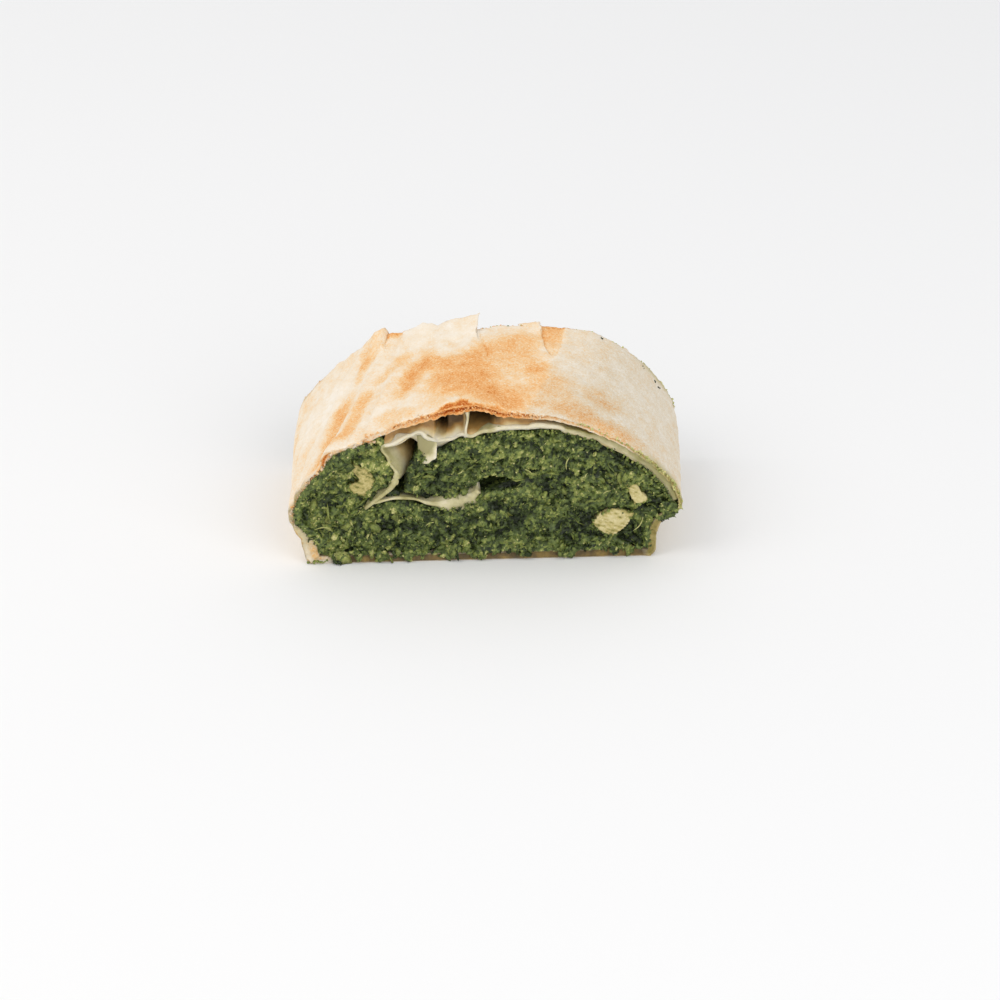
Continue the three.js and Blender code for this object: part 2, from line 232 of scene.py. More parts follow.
# Strudel dough, rolled thin, floured and baked: dry and matt, cream where the flour lies, golden where the
# oven caught it, with a sandy grain, yellow-green where juice soaked in and dark brown where damp, which on
# the floor of the cut edges is also painted shade
def bakedDough():
    material, tree = newMaterial("strudelDoughBaked")
    place = addNode(tree, "ShaderNodeTexCoord").outputs["Object"]
    browned, pallor, moist, stain = [
        addNode(tree, "ShaderNodeAttribute", {"attribute_name": name}).outputs["Fac"]
        for name in ("bake", "pallor", "moist", "stain")]
    grain = addNode(tree, "ShaderNodeTexNoise", {"Scale": perMetre(0.6), "Detail": 2, "Roughness": 0.8},
                    {"Vector": place}).outputs["Fac"]
    mottle = addNode(tree, "ShaderNodeTexNoise", {"Scale": perMetre(3.2), "Detail": 4, "Roughness": 0.6},
                     {"Vector": place}).outputs["Fac"]
    # the grain is stronger where the dough is browned and on the greyer side
    grainShift = addNode(tree, "ShaderNodeMath", {**scaleAndAdd, 1: 1.26, 2: -0.63}, {0: grain}).outputs[0]
    mottleShift = addNode(tree, "ShaderNodeMath", {**scaleAndAdd, 1: 0.4, 2: -0.2}, {0: mottle}).outputs[0]
    coarse = addNode(tree, "ShaderNodeMath", {**scaleAndAdd, 1: 1.25, 2: 0.16}, {0: browned}).outputs[0]
    coarser = addNode(tree, "ShaderNodeMath", {**scaleAndAdd, 1: 0.3}, {0: pallor, 2: coarse}).outputs[0]
    shift = addNode(tree, "ShaderNodeMath", scaleAndAdd, {0: grainShift, 1: coarser, 2: mottleShift})
    level = addNode(tree, "ShaderNodeMath", addClamped, {0: browned, 1: shift.outputs[0]}).outputs[0]
    warm, grey, juice, wetAndShade = [
        addNode(tree, "ShaderNodeValToRGB", {"stops": stops}, {"Fac": amount}).outputs["Color"]
        for amount, stops in (
            (level, [(0.0, "#f6eee0"), (0.2, "#f1e1c8"), (0.4, "#f1cb98"), (0.6, "#edb06e"),
                     (0.8, "#df9247"), (1.0, "#bb5c18")]),
            (level, [(0.0, "#eae2d4"), (0.2, "#dfd4bf"), (0.4, "#dcc4a0"), (0.6, "#dab07f"),
                     (0.8, "#cf9458"), (1.0, "#b0682c")]),
            (mottle, [(0.3, "#8f8445"), (0.5, "#ada05f"), (0.7, "#cfc48c")]),
            (mottle, [(0.3, "#40351a"), (0.5, "#68542b"), (0.7, "#947b40")]))]
    colour = warm
    for share, other in ((pallor, grey), (stain, juice), (moist, wetAndShade)):
        colour = addNode(tree, "ShaderNodeMix", mixColours, {"Factor": share, 6: colour, 7: other}).outputs[2]
    height = addNode(tree, "ShaderNodeMath", {**scaleAndAdd, 1: 0.35}, {0: grain, 2: mottle}).outputs[0]
    setSurface(tree, colour, height, 0.5, 0.35, {"Roughness": 0.78, "IOR": 1.4, "Specular IOR Level": 0.3})
    return material


# The same dough steamed inside the roll: soft, pale and a little translucent, with a moist sheen,
# a green tinge where it lies on the filling and brown where it toasted under the crust; the brown runs to
# near black as painted shade in the deep pockets, under the lip and on the flap, and the olive end of the
# tinge is also painted shade on the tongue
def steamedDough():
    material, tree = newMaterial("strudelDoughSteamed")
    place = addNode(tree, "ShaderNodeTexCoord").outputs["Object"]
    tinge, toast = [addNode(tree, "ShaderNodeAttribute", {"attribute_name": name}).outputs["Fac"]
                    for name in ("tinge", "toast")]
    mottle = addNode(tree, "ShaderNodeTexNoise", {"Scale": perMetre(2.5), "Detail": 4, "Roughness": 0.6},
                     {"Vector": place}).outputs["Fac"]
    pale = grained(tree, tinge, mottle, 0.8, [
        (0.0, "#f3ecda"), (0.35, "#e0d6b6"), (0.65, "#c2ba88"), (1.0, "#918a50")])
    # the dark end of this ramp is painted shade in the deep pockets and under the lip
    brownAndShade = grained(tree, toast, mottle, 0.3, [
        (0.0, "#efe6d0"), (0.35, "#d8c08a"), (0.6, "#b48b50"), (0.8, "#6e5636"), (1.0, "#382f22")])
    share = addNode(tree, "ShaderNodeMath", {"operation": "MULTIPLY", "use_clamp": True, 1: 3}, {0: toast})
    colour = addNode(tree, "ShaderNodeMix", mixColours, {"Factor": share.outputs[0], 6: pale, 7: brownAndShade})
    setSurface(tree, colour.outputs[2], mottle, 0.25, 0.3, {
        "Roughness": 0.42, "IOR": 1.4, "Subsurface Weight": 0.35,
        "Subsurface Radius": (1.0, 0.9, 0.6), "Subsurface Scale": 0.8 * mm})
    return material


# Spinach, cooked and chopped to crumbs: deep green with paler bits of stem, moist enough to glint
def choppedSpinach():
    material, tree = newMaterial("spinachChopped")
    place = addNode(tree, "ShaderNodeTexCoord").outputs["Object"]
    tint = addNode(tree, "ShaderNodeAttribute", {"attribute_name": "tint"}).outputs["Fac"]
    fleck = addNode(tree, "ShaderNodeTexNoise", {"Scale": perMetre(0.7), "Detail": 3, "Roughness": 0.65},
                    {"Vector": place}).outputs["Fac"]
    colour = grained(tree, tint, fleck, 0.7, [
        (0.0, "#1d2513"), (0.22, "#3b4724"), (0.5, "#66743b"), (0.75, "#949c50"), (1.0, "#d8d08e")])
    setSurface(tree, colour, fleck, 0.5, 0.25, {
        "Roughness": 0.38, "IOR": 1.38, "Specular IOR Level": 0.45, "Subsurface Weight": 0.1,
        "Subsurface Radius": (0.6, 1.0, 0.3), "Subsurface Scale": 0.5 * mm})
    return material


# Tofu, pressed and torn: cream, matt, with fine pores and short strokes, stained green at its edges and
# tinted darker in its pits as painted shade
def pressedTofu():
    material, tree = newMaterial("tofuPressed")
    place = addNode(tree, "ShaderNodeTexCoord").outputs["Object"]
    tint = addNode(tree, "ShaderNodeAttribute", {"attribute_name": "tint"}).outputs["Fac"]
    pores = addNode(tree, "ShaderNodeTexNoise", {"Scale": perMetre(0.8), "Detail": 4, "Roughness": 0.7},
                    {"Vector": place}).outputs["Fac"]
    colour = grained(tree, tint, pores, 0.8, [
        (0.0, "#efe3bc"), (0.45, "#ded19f"), (0.75, "#bfb06f"), (1.0, "#77763a")])
    setSurface(tree, colour, pores, 0.6, 0.3, {"Roughness": 0.75, "IOR": 1.4})
    return material


doughBaked = bakedDough()
doughSteamed = steamedDough()
spinach = choppedSpinach()
tofu = pressedTofu()
print("materials made")

# Crust: one shell of baked sheets with ridges on the left flank and ragged, grooved edges at both cuts
crust = {
    "skirtCount": 24, "wallCount": 7, "domeCount": 330, "floorCount": 46, "edgeRows": 13, "edgeDepth": 4.4,
    "middleRows": 104, "innerRows": 30, "ringSteps": 8,
    "lump": 0.35, "lumpAcross": 8, "lumpAlong": 9, "reliefCentre": 8, "reliefStart": 9, "ridgeLean": 21,
    # ridges of the left flank: angle around the roll, height, spread in degrees
    "ridges": [(169, 0.6, 4), (158, 1.2, 3.5), (146, 0.9, 4.5), (130, 0.6, 5), (160.5, 0.45, 1.1),
               (174, 0.3, 1.2), (164.6, 0.2, 0.8), (151.5, 0.3, 1), (139, 0.25, 1.2), (180.5, 0.28, 2.2),
               (187, 0.3, 1.6), (194, 0.35, 2.4)],
    "blister": 0.2, "pleat": 0.5, "edgeRag": 0.55, "edgeCrumb": 0.42, "groove": 1.1,
    # thickness of one baked sheet, rounding of the foot and how high it reaches, inner sheet behind the cut
    "sheet": 0.5, "footRound": 1.4, "footHeight": 2.4, "innerBehind": 0.35,
    "kink": {"angle": 157.5, "tall": 1.9, "spread": 6, "depth": 13},  # pleat that gapes at the front cut
    # where the top sheet broke away at a cut: distance along the outline, how far it stays behind the cut
    "broken": {
        "front": [(-15, 0), (-12.6, 2), (-9, 3), (-6, 3), (-3.8, 1.8), (-2, 0.8), (0.6, 1.5), (3.4, 1.8),
                  (6, 0.9), (9, 0)],
        "back": [(14, 0), (17, 1.5), (22, 2.2), (27, 0.8), (30, 0)],
    },
    # where both sheets broke away at the back cut
    "lost": [(-4, 0), (-2.6, 4.4), (0, 3.6), (3, 1.9), (8, 1.4), (12.6, 1.6), (14, 0)],
    # how far the inner sheet hangs down behind the lip at the crown
    "hang": [(-26, 0), (-16, 0.9), (-9, 1.3), (-3, 0.9), (4, 1.2), (10, 0.6), (16, 0)], "hangDepth": 7,
    # a torn strip of the top sheet: place along the depth, its left and right side along the outline
    "tear": [(9.2, 19.1, 19.4), (10.8, 18.5, 20.4), (15.8, 17, 21.6), (20, 16.6, 22.2), (29, 16.2, 22.8)],
    # a crack in the top sheet: place along the depth, distance along the outline
    "crack": [(2.4, -0.3), (5, 0.2), (8.2, 0), (12, -0.3), (15.2, -1.2), (22, -2.2)],
}


def section(inset, floor, turned):
    half = roll["half"] - inset
    up = np.linspace(0, 1, crust["skirtCount"])
    sides = []
    for name, sign in (("left", -1), ("right", 1)):
        form = roll[name]
        foot = form["foot"] - form["turnWall"] * turned
        skirt = np.column_stack([sign * (foot + (half - foot) * up ** form["hollow"]),
                                 floor + (form["lip"] - floor) * up])
        if not turned:
            low = np.clip(1 - skirt[:, 1] / crust["footHeight"], 0, 1)
            skirt[:, 0] -= sign * crust["footRound"] * low ** 2
        wall = np.linspace(form["lip"], roll["belly"], crust["wallCount"])[1:-1]
        sides.append(np.vstack([skirt, np.column_stack([np.full(len(wall), sign * half), wall])]))
    x = half * np.cos(np.linspace(np.pi, 0, 2000))
    dome = evenly(np.column_stack([x, domeHeight(x, inset)]), crust["domeCount"])
    under = evenly(np.array([sides[1][0], sides[0][0]]), crust["floorCount"])[1:-1]
    return np.vstack([sides[0], dome, sides[1][::-1], under])


# Distance along the outline from the top of the crown, negative on the left
outerLine = section(0, 0, False)
innerLine = section(roll["wall"], roll["floor"], True)
lineSteps = np.linalg.norm(np.diff(outerLine, axis=0), axis=1)
arcLine = np.concatenate([[0], np.cumsum(lineSteps)])
domeStart = crust["skirtCount"] + crust["wallCount"] - 2
topColumns = slice(domeStart, domeStart + crust["domeCount"])
arcLine = arcLine - np.interp(0, outerLine[topColumns, 0], arcLine[topColumns])
columns = len(outerLine)
isFloor = np.arange(columns) >= columns - crust["floorCount"] + 2


def ridgeAngle(x, y, z):
    angle = np.degrees(np.arctan2(z - roll["belly"], x))
    angle = np.where(angle < -90, angle + 360, angle)
    return angle + crust["ridgeLean"] * (y / roll["depth"] + 0.5)


# How much of the top sheet is missing: at the broken cut edges, in the torn strip and along the cracks
def missing(arc, y):
    rag = 0.45 * uneven(arc, y, 1.1, 1.1, 15) + 0.5 * uneven(arc, y, 3, 3, 16)
    atCut = 0
    for cut, distance in (("front", y + halfDepth), ("back", halfDepth - y)):
        broken = np.interp(arc, *np.array(crust["broken"][cut]).T)
        atCut = np.maximum(atCut, smooth(broken * (1 + rag) - distance, 0, 0.4))
    along, left, right = np.array(crust["tear"]).T
    leftSide = arc - np.interp(y, along, left) + 0.5 * rag
    rightSide = arc - np.interp(y, along, right) + 0.5 * rag
    reached = smooth(y, along[0], along[0] + 1)
    torn = smooth(leftSide, -0.2, 0.3) * (1 - smooth(rightSide, -1.2, 0.6)) * reached
    crackY, crackArc = np.array(crust["crack"]).T
    beside = arc - np.interp(y, crackY, crackArc) + 0.4 * rag
    cracked = 0.7 * np.exp(-(beside / 0.32) ** 2) * smooth(y, 2.4, 6) * (1 - smooth(y, 19, 22))
    sides = np.exp(-(leftSide / 0.3) ** 2) + 0.5 * np.exp(-(rightSide / 0.35) ** 2)
    return atCut, torn, np.minimum(cracked + sides * reached, 1)


# The pleat on the left flank that stands open at the front cut and runs out behind it
def kinkHeight(x, y, z):
    pleat = crust["kink"]
    across = (ridgeAngle(x, y, z) - pleat["angle"]) / pleat["spread"]
    return pleat["tall"] * np.exp(-across ** 2) * (1 - smooth(y + halfDepth, 0, pleat["depth"]))


# Height of the crust over the smooth roll: lumps, ridges, pleats and blisters, less what is missing
def relief(arc, x, y, z):
    lean = ridgeAngle(x, y, z)
    height = crust["lump"] * np.sin(x / crust["lumpAcross"] + 1.2) * np.sin(y / crust["lumpAlong"] + 0.4)
    for angle, tall, spread in crust["ridges"]:
        height = height + tall * np.exp(-((lean - angle) / spread) ** 2)
    leftFlank = smooth(-x, 14, 30)
    bothFlanks = smooth(np.abs(x), 20, 40)
    pleats = leftFlank * uneven(lean, y, 2.4, 20, 3) + 0.4 * bothFlanks * uneven(lean, y, 1.1, 12, 6)
    height = height + crust["pleat"] * pleats
    height = height + crust["blister"] * (0.5 + 0.5 * (1 - leftFlank)) * uneven(arc, y, 3.2, 3.6, 4)
    height = height + 0.5 * crust["blister"] * uneven(arc, y, 1.3, 1.4, 5)
    height = (height + kinkHeight(x, y, z)) * smooth(z, 0.5, crust["reliefStart"])
    atCut, torn, cracked = missing(arc, y)
    return height - crust["sheet"] * (1.2 * atCut + 0.7 * torn + 0.8 * cracked)


def crustPoint(arc, x, y, z):
    away = np.hypot(x, z - crust["reliefCentre"]) + 1e-6
    high = relief(arc, x, y, z)
    newX = x + high * x / away
    newZ = z + high * (z - crust["reliefCentre"]) / away
    # the lip and the foot waver along the depth, each side in its own way
    inner = smooth(behindCut(y), 0, 8) * smooth(np.abs(x), 42, 50)
    run = y + 0 * x
    flank = 50 * np.sign(x) + 0 * y
    wander = 0.7 * uneven(run, flank, 8, 1, 27) + 0.3 * uneven(run, flank, 2.6, 1, 28)
    newZ = newZ + inner * wander * np.exp(-((z - 14) / 4) ** 2)
    newX = newX + inner * 0.5 * np.sign(x) * uneven(run, flank, 6, 1, 29) * (1 - smooth(z, 1, 7))
    return np.stack([newX, run, risen(newX, y, newZ)], axis=-1)


# How the oven browned the crust, with painted shade in the slit under the lip and along the cracks
bake = {
    "pale": 0.222, "range": 0.56, "warp": 1.3, "fineWarp": 0.6,
    # tones where the top sheet is torn away or cracked, at the rim of a break and in the slit it leaves; the
    # crack tone and the darker slit stand partly for painted shadow
    "torn": 0.36, "tornBehind": 0.18, "crack": 0.22, "paleRim": 0.5, "slit": 0.6, "slitShade": 0.32,
    # browned patches, and floury ones below 0: distance along the outline from the crown,
    # place along the depth, reach along and across the patch, turn in degrees, strength
    "patches": [
        (-20.6, -0.5, 13.5, 3.2, 73, 0.62), (0, -5, 19, 19, 0, 0.13), (-7, -9, 11.5, 9, 60, 0.62),
        (-13.5, 3, 5, 5, 0, 0.4), (3.5, -21, 7, 9, 90, 0.7), (5, 8, 10, 9, 0, 0.26), (-3, 6.5, 5, 5, 0, 0.3),
        (14, 1, 4.4, 3.4, 40, 0.46), (9.5, 16, 6, 7, 0, 0.3), (-24, -24.5, 8, 4.5, 0, 0.14),
        (-35.7, 17.5, 4, 2.4, 70, 0.36), (-38.2, 12, 4, 2.2, 70, 0.36), (-30.2, 5, 4, 3, 40, 0.22),
        (-24.7, 9.2, 4, 2.6, 70, 0.24),
        (-33.7, 23, 4, 4, 0, 0.16), (24, -22, 9, 5, 0, 0.4), (37, -25, 11, 4.4, 0, 0.42),
        (33, -11, 6, 5, 0, 0.36),
        (-26.2, 27.8, 3, 1.6, 0, 0.8), (18.5, 23, 3, 6, 0, 0.25), (17, -10, 8, 9, 0, 0.26),
        (6.8, -8.2, 5, 2, 75, -0.07), (-12.5, -14, 3, 2.6, 0, -0.12), (-29, -17, 9, 2.6, 32, -0.12),
        (-20.5, -18, 4, 3, 30, -0.1), (-8, 19, 7, 6, 0, -0.12), (-22, 20, 7, 4, 60, -0.06),
        (-47, 4, 14, 6, 40, -0.13), (-54, 8, 16, 7, 60, -0.11),
    ],
    # stripes between the ridges of the left flank: angle, spread, from, to, strength
    "stripes": [(165, 3.2, -27, 1, 0.43), (156, 2.6, -24, -2, 0.39), (177, 2, -14, 16, 0.06),
                (184, 1.6, -24, 6, 0.06), (190.5, 1.8, -4, 22, 0.08)],
}


def baking(arc, x, y, z):
    def warped(seed):
        fine = bake["fineWarp"] * uneven(arc, y, 1.2, 2.4, seed + 1)
        return bake["warp"] * uneven(arc, y, 3.6, 7, seed) + fine

    wavyArc = arc + warped(13)
    wavyY = y + 1.6 * warped(18)
    browned, floury = 0, 0
    for midArc, midY, reachLong, reachShort, turn, strength in bake["patches"]:
        aimed = math.radians(turn)
        along = (wavyArc - midArc) * math.cos(aimed) + (wavyY - midY) * math.sin(aimed)
        across = (wavyY - midY) * math.cos(aimed) - (wavyArc - midArc) * math.sin(aimed)
        amount = strength * np.exp(-((along / reachLong) ** 2 + (across / reachShort) ** 2) ** 1.5)
        browned = browned + np.maximum(amount, 0)
        floury = floury + np.minimum(amount, 0)
    lean = ridgeAngle(x, wavyY, z)
    for angle, spread, start, end, strength in bake["stripes"]:
        run = smooth(y, start - 3, start + 3) * (1 - smooth(y, end - 6, end + 6)) * smooth(-x, 20, 30)
        browned = browned + strength * np.exp(-np.abs((lean - angle) / spread) ** 3) * run
    amount = bake["pale"] + bake["range"] * (1 - np.exp(-browned / bake["range"])) + floury
    amount = amount + 0.05 * uneven(arc, y, 5, 10, 11) + 0.06 * uneven(arc, y, 1.6, 3.4, 12)
    # where the top sheet is gone, the one below shows: golden in the strip, with a darker line along the
    # cracks and the strip's sides that is partly painted shadow, and in the slit at the lip brown with
    # painted shade, darker deeper under the lip
    atCut, torn, cracked = missing(arc, y)
    tornTone = bake["torn"] + bake["tornBehind"] * smooth(y, 13, 21)
    amount = amount + (tornTone - amount) * torn + bake["crack"] * cracked
    amount = amount - bake["paleRim"] * atCut * (1 - atCut)
    inSlit = smooth(behindCut(y), 0.2, 0.9) * (1 - 0.6 * smooth(arc, -4, 0))
    slitTone = bake["slit"] + bake["slitShade"] * inSlit
    return amount + (slitTone - amount) * atCut


# The right side is greyer: it starts in a sharp step at the front and runs out towards the back,
# and the lip on that side stays warmer
greyer = {
    "start": 10.5, "slant": 0.25, "wave": 1.2, "waveSize": 4, "step": 0.45, "slow": 0.55,
    "warmLip": 0.6, "lipAt": 34, "lipReach": 9,
}


def paling(arc, y):
    fromFront = y + halfDepth
    wave = greyer["wave"] * uneven(arc, y, greyer["waveSize"], greyer["waveSize"], 17)
    past = arc - greyer["start"] - greyer["slant"] * fromFront + wave
    warm = np.exp(-((arc - greyer["lipAt"]) / greyer["lipReach"]) ** 2)
    warm = warm * (1 - smooth(fromFront, 0, greyer["lipReach"]))
    amount = greyer["step"] * smooth(past, -0.6, 1.4) + greyer["slow"] * smooth(past, 1, 20)
    return amount * (1 - greyer["warmLip"] * warm)


# The cut edge of the wall: two sheets, with a groove between them over the crown and a slit on the left.
# Stretches are given by their middle along the outline, half their length and how they fade.
cutEdge = {
    "crown": (-4, 28, 10), "browner": (-2, 19, 9), "slit": (-50.5, 6.5, 3), "gap": (-8, 6, 2),
    # place of the groove through the wall, its width, the crumbly surface, share of its depth in each place
    "grooveAt": 0.42, "grooveWide": 0.15, "crumb": 0.2,
    "grooveShare": {"all": 0.12, "crown": 0.6, "slit": 1.1},
    # how far the inner sheet stays behind the outer one
    "crownBehind": 0.35, "rightBehind": 0.5,
    # baking of the edge: all over, and added in each place; the browner groove between the sheets is partly
    # browning and partly painted shade
    "tone": {"all": 0.28, "crown": 0.24, "browner": 0.14, "slit": 0.6, "groove": 0.25, "right": 0.34,
             "low": 0.1, "corner": 0.3, "floor": 0.16, "gap": 0.4},
}


def stretch(name):
    middle, half, fade = cutEdge[name]
    return smooth(half - np.abs(arcLine - middle), 0, fade)


def makeCrust():
    edge = np.linspace(0, crust["edgeDepth"], crust["edgeRows"])
    middle = np.linspace(crust["edgeDepth"] - halfDepth, halfDepth - crust["edgeDepth"], crust["middleRows"])
    rows = np.concatenate([edge[:-1] - halfDepth, middle, halfDepth - edge[::-1][1:]])
    parts, faces, marks = [], [], {"bake": [], "pallor": [], "moist": [], "stain": []}

    def ragged(seed):
        coarse = crust["edgeRag"] * waver(arcLine, 3.4, seed)
        coarse = coarse + 0.5 * smooth(arcLine, 30, 44) * waver(arcLine, 1.7, seed + 60)
        return (coarse + crust["edgeCrumb"] * waver(arcLine, 0.9, seed + 1)) * ~isFloor

    ragFront, ragBack = ragged(21), ragged(23)
    lost = np.interp(arcLine, *np.array(crust["lost"]).T) * ~isFloor

    def shifted(y):
        y = y + ragFront * (1 - smooth(y + halfDepth, 0, 5)) - ragBack * (1 - smooth(halfDepth - y, 0, 5))
        return y - lost * (1 - smooth(halfDepth - y, 0, 14))

    def store(points, **values):
        start = sum(len(part) for part in parts)
        parts.append(points.reshape(-1, 3))
        for name, value in values.items():
            marks[name].append(np.ravel(value))
        return start

    # outside: damp towards the foot, stained with juice along the cuts low on both sides
    arc = np.broadcast_to(arcLine, (len(rows), columns))
    x = np.broadcast_to(outerLine[:, 0], arc.shape)
    z = np.broadcast_to(outerLine[:, 1], arc.shape)
    y = np.array([shifted(row) for row in rows])
    outside = crustPoint(arc, x, y, z)
    nearCut = 1 - smooth(behindCut(y), 0, 2.5)
    nearby = 1 - smooth(behindCut(y), 0, 5)
    moist = (0.08 + 0.2 * (x > 0)) * (1 - smooth(z, 2, 13)) + 0.25 * nearCut * smooth(np.abs(x), 44, 52)
    stain = (0.65 * nearby * smooth(arc, 44, 54) + 0.3 * nearCut * smooth(-arc, 54, 62)) * ~isFloor
    store(outside, bake=baking(arc, x, y, z), pallor=paling(arc, y), moist=moist, stain=stain)
    faces.append(gridFaces(len(rows), columns, 0, around=True))

    # inside: the inner sheet hangs a little behind the lip
    innerRows = np.linspace(-halfDepth, halfDepth, crust["innerRows"])
    xIn = np.broadcast_to(innerLine[:, 0], (len(innerRows), columns))
    zIn = np.broadcast_to(innerLine[:, 1], xIn.shape)
    yIn = np.array([shifted(row) for row in innerRows])
    yIn[0] += crust["innerBehind"]
    yIn[-1] -= crust["innerBehind"]
    hang = np.interp(arcLine, *np.array(crust["hang"]).T)
    hang = hang * (1 + 0.45 * waver(arcLine, 2.2, 25) + 0.35 * waver(arcLine, 0.7, 26))
    zIn = zIn - hang * (1 - smooth(behindCut(yIn), 0, crust["hangDepth"])) * ~isFloor
    away = np.hypot(xIn, zIn - crust["reliefCentre"])
    gape = kinkHeight(xIn, yIn, zIn)
    xIn, zIn = xIn + gape * xIn / away, zIn + gape * (zIn - crust["reliefCentre"]) / away
    inside = np.stack([xIn, yIn, risen(xIn, yIn, zIn)], axis=-1)
    insideStart = store(inside, bake=0.25 + 0 * xIn, pallor=0.3 + 0 * xIn,
                        moist=0.35 + 0.4 * smooth(np.abs(xIn), 20, 40), stain=0 * xIn)
    faces.append(gridFaces(len(innerRows), columns, insideStart, around=True))

    # the cut edges
    onCrown, browner, slit, gap = [stretch(name) for name in ("crown", "browner", "slit", "gap")]
    corner = smooth(-outerLine[:, 0], 40, 46) * (1 - smooth(outerLine[:, 1], 3, 9))
    onRight = smooth(arcLine, 10, 22)
    low = 1 - smooth(outerLine[:, 1], 8, 18)
    # the floor of each cut edge is dark brown: damp and stained, and painted shade along the base; low on the
    # right it is damp with some painted shade
    dampAndShade = np.where(isFloor, 0.95 * smooth(outerLine[:, 0], -47, -41), 0.06 * onRight + 0.36 * low * onRight)
    stain = 0.8 * smooth(arcLine, 40, 52) + 0.2 * low * onRight
    stain = (stain + 0.6 * smooth(-arcLine, 53, 62) * (1 - 0.6 * corner)) * ~isFloor
    pallor = paling(arcLine, 0 * arcLine - halfDepth)
    share, tone = cutEdge["grooveShare"], cutEdge["tone"]
    for outerRow, innerRow, side, seed in ((0, 0, 1, 31), (len(rows) - 1, len(innerRows) - 1, -1, 41)):
        previous = np.arange(columns) + outerRow * columns
        for step in range(1, crust["ringSteps"]):
            depth = step / crust["ringSteps"]
            line = outside[outerRow] * (1 - depth) + inside[innerRow] * depth
            between = np.exp(-((depth - cutEdge["grooveAt"]) / cutEdge["grooveWide"]) ** 2)
            opened = share["all"] + share["crown"] * onCrown + share["slit"] * slit
            groove = crust["groove"] * between * opened * (0.75 + 0.25 * waver(arcLine, 2.2, seed))
            crumb = cutEdge["crumb"] * uneven(arcLine, 0 * arcLine + depth * 4, 0.8, 0.8, seed + 1)
            lower = -cutEdge["crownBehind"] * onCrown * smooth(depth, 0.5, 0.7)
            lower = lower - cutEdge["rightBehind"] * onRight * smooth(depth, 0.3, 0.9)
            line[:, 1] += side * np.where(isFloor, 1.4 * crumb, groove + crumb + lower)
            browned = tone["all"] + (tone["crown"] * onCrown + tone["browner"] * browner) * (1 - onRight)
            browned = browned + tone["slit"] * slit * between + tone["groove"] * browner * between
            rightTone = tone["right"] * onRight * np.exp(-((depth - 0.45) / 0.2) ** 2) * (1 - low)
            browned = browned + rightTone - tone["low"] * low
            browned = browned + tone["corner"] * corner * smooth(depth, 0.2, 0.6)
            browned = browned + tone["floor"] * isFloor * waver(outerLine[:, 0], 2.4, seed + 2)
            browned = browned + tone["gap"] * gap * (1 - smooth(depth, 0.4, 0.65))
            start = store(line, bake=browned, pallor=pallor, moist=dampAndShade, stain=stain)
            current = start + np.arange(columns)
            faces.append(facesOf([previous, current], around=True))
            previous = current
        innerEdge = insideStart + np.arange(columns) + innerRow * columns
        faces.append(facesOf([previous, innerEdge], around=True))

    addPiece("bakedCrust", np.vstack(parts), np.vstack(faces), doughBaked, ["crust"],
             {name: np.concatenate(values) for name, values in marks.items()})
    return [(outside[0], inside[0]), (outside[-1], inside[-1])]


cutEdges = makeCrust()

# Soft inner layers: thin sheets that run through the slice, folded and wavy at the cuts
layers = {
    "thickness": 1.1, "recess": 0.8, "columns": 300, "middleColumns": 110, "septumColumns": 16,
    # lengths of the upper and middle line, column where the upper one folds, depth where the edge runs out
    "length": 140, "middleLength": 35, "foldAt": 220, "blend": 3.6,
    "depths": [0, 0.25, 0.5, 0.9, 1.4, 2, 2.8, 3.8, 5, 6.5, 8.5, 11, 15, 20, 28.5],
    "lift": 0.45, "sway": 0.5, "flank": 42, "fade": 16, "edgeWave": 0.45, "slantDepth": 9,
    # how far the flap leans over the pocket behind the cut: share of the way along the sheet, lean
    "slant": [(0.745, 0), (0.785, 5), (0.82, 5), (0.87, 3.6), (0.91, 1.8), (0.95, 0.6), (1, 0)],
    "upper": [
        (52.2, 17.8), (49.2, 22.9), (46.2, 26.4), (42.65, 29.6), (30.95, 37.2), (22.2, 40.7), (12, 42.2),
        (4, 41.9), (-3, 39.2), (-9, 37.2), (-13.2, 34.6), (-16.4, 33.6), (-18.8, 36.4), (-22, 38.7),
        (-26.2, 38.2), (-28.6, 35.4), (-26.8, 32), (-24.7, 28.8), (-24.8, 25.6), (-27.4, 23), (-31.4, 20.9)],
    # the same points at the cut itself, where the fold rises in an arch over the pocket
    "upperEdge": [
        (52.6, 17.6), (50.2, 22.8), (47, 26.6), (43.4, 30), (31.4, 37.8), (22.4, 40.4), (12.6, 42.1),
        (4, 41.5), (-3, 39.3), (-8.6, 38.4), (-13.4, 37.6), (-16, 38.4), (-18, 39.9), (-20.9, 39.5),
        (-24, 37.4), (-28.7, 35.6), (-27.2, 32.8), (-25.7, 29.6), (-24.7, 26.8), (-27, 23), (-34, 17.4)],
    "middle": [(-33.4, 17.9), (-28.6, 19), (-22, 19.7), (-15, 18.1), (-9, 18), (-5.4, 19.7), (-2.4, 21.7)],
    "septum": [(-5.5, 38.4), (-5.7, 41), (-5.4, 43.4), (-5.6, 45.8)],
}


def splined(points, count):
    points = np.array(points, float)
    padded = np.vstack([2 * points[0] - points[1], points, 2 * points[-1] - points[-2]])
    part = np.linspace(0, 1, 24, endpoint=False)[:, None]
    pieces = []
    for a, b, c, d in zip(padded, padded[1:], padded[2:], padded[3:]):
        pieces.append(0.5 * (2 * b + (c - a) * part + (2 * a - 5 * b + 4 * c - d) * part ** 2
                             + (3 * b - a - 3 * c + d) * part ** 3))
    chosen = np.linspace(0, 24 * (len(points) - 1), count).round().astype(int)
    return np.vstack(pieces + [points[-1:]])[chosen]


def wavered(x, y, z):
    free = smooth(layers["flank"] - np.abs(x), 0, layers["fade"])
    phase = 2 * np.pi * (y + halfDepth) / roll["depth"]
    z = z + layers["lift"] * free * np.sin(2 * phase + x / 6)
    return x + layers["sway"] * free * np.sin(1.5 * phase + z / 7), z


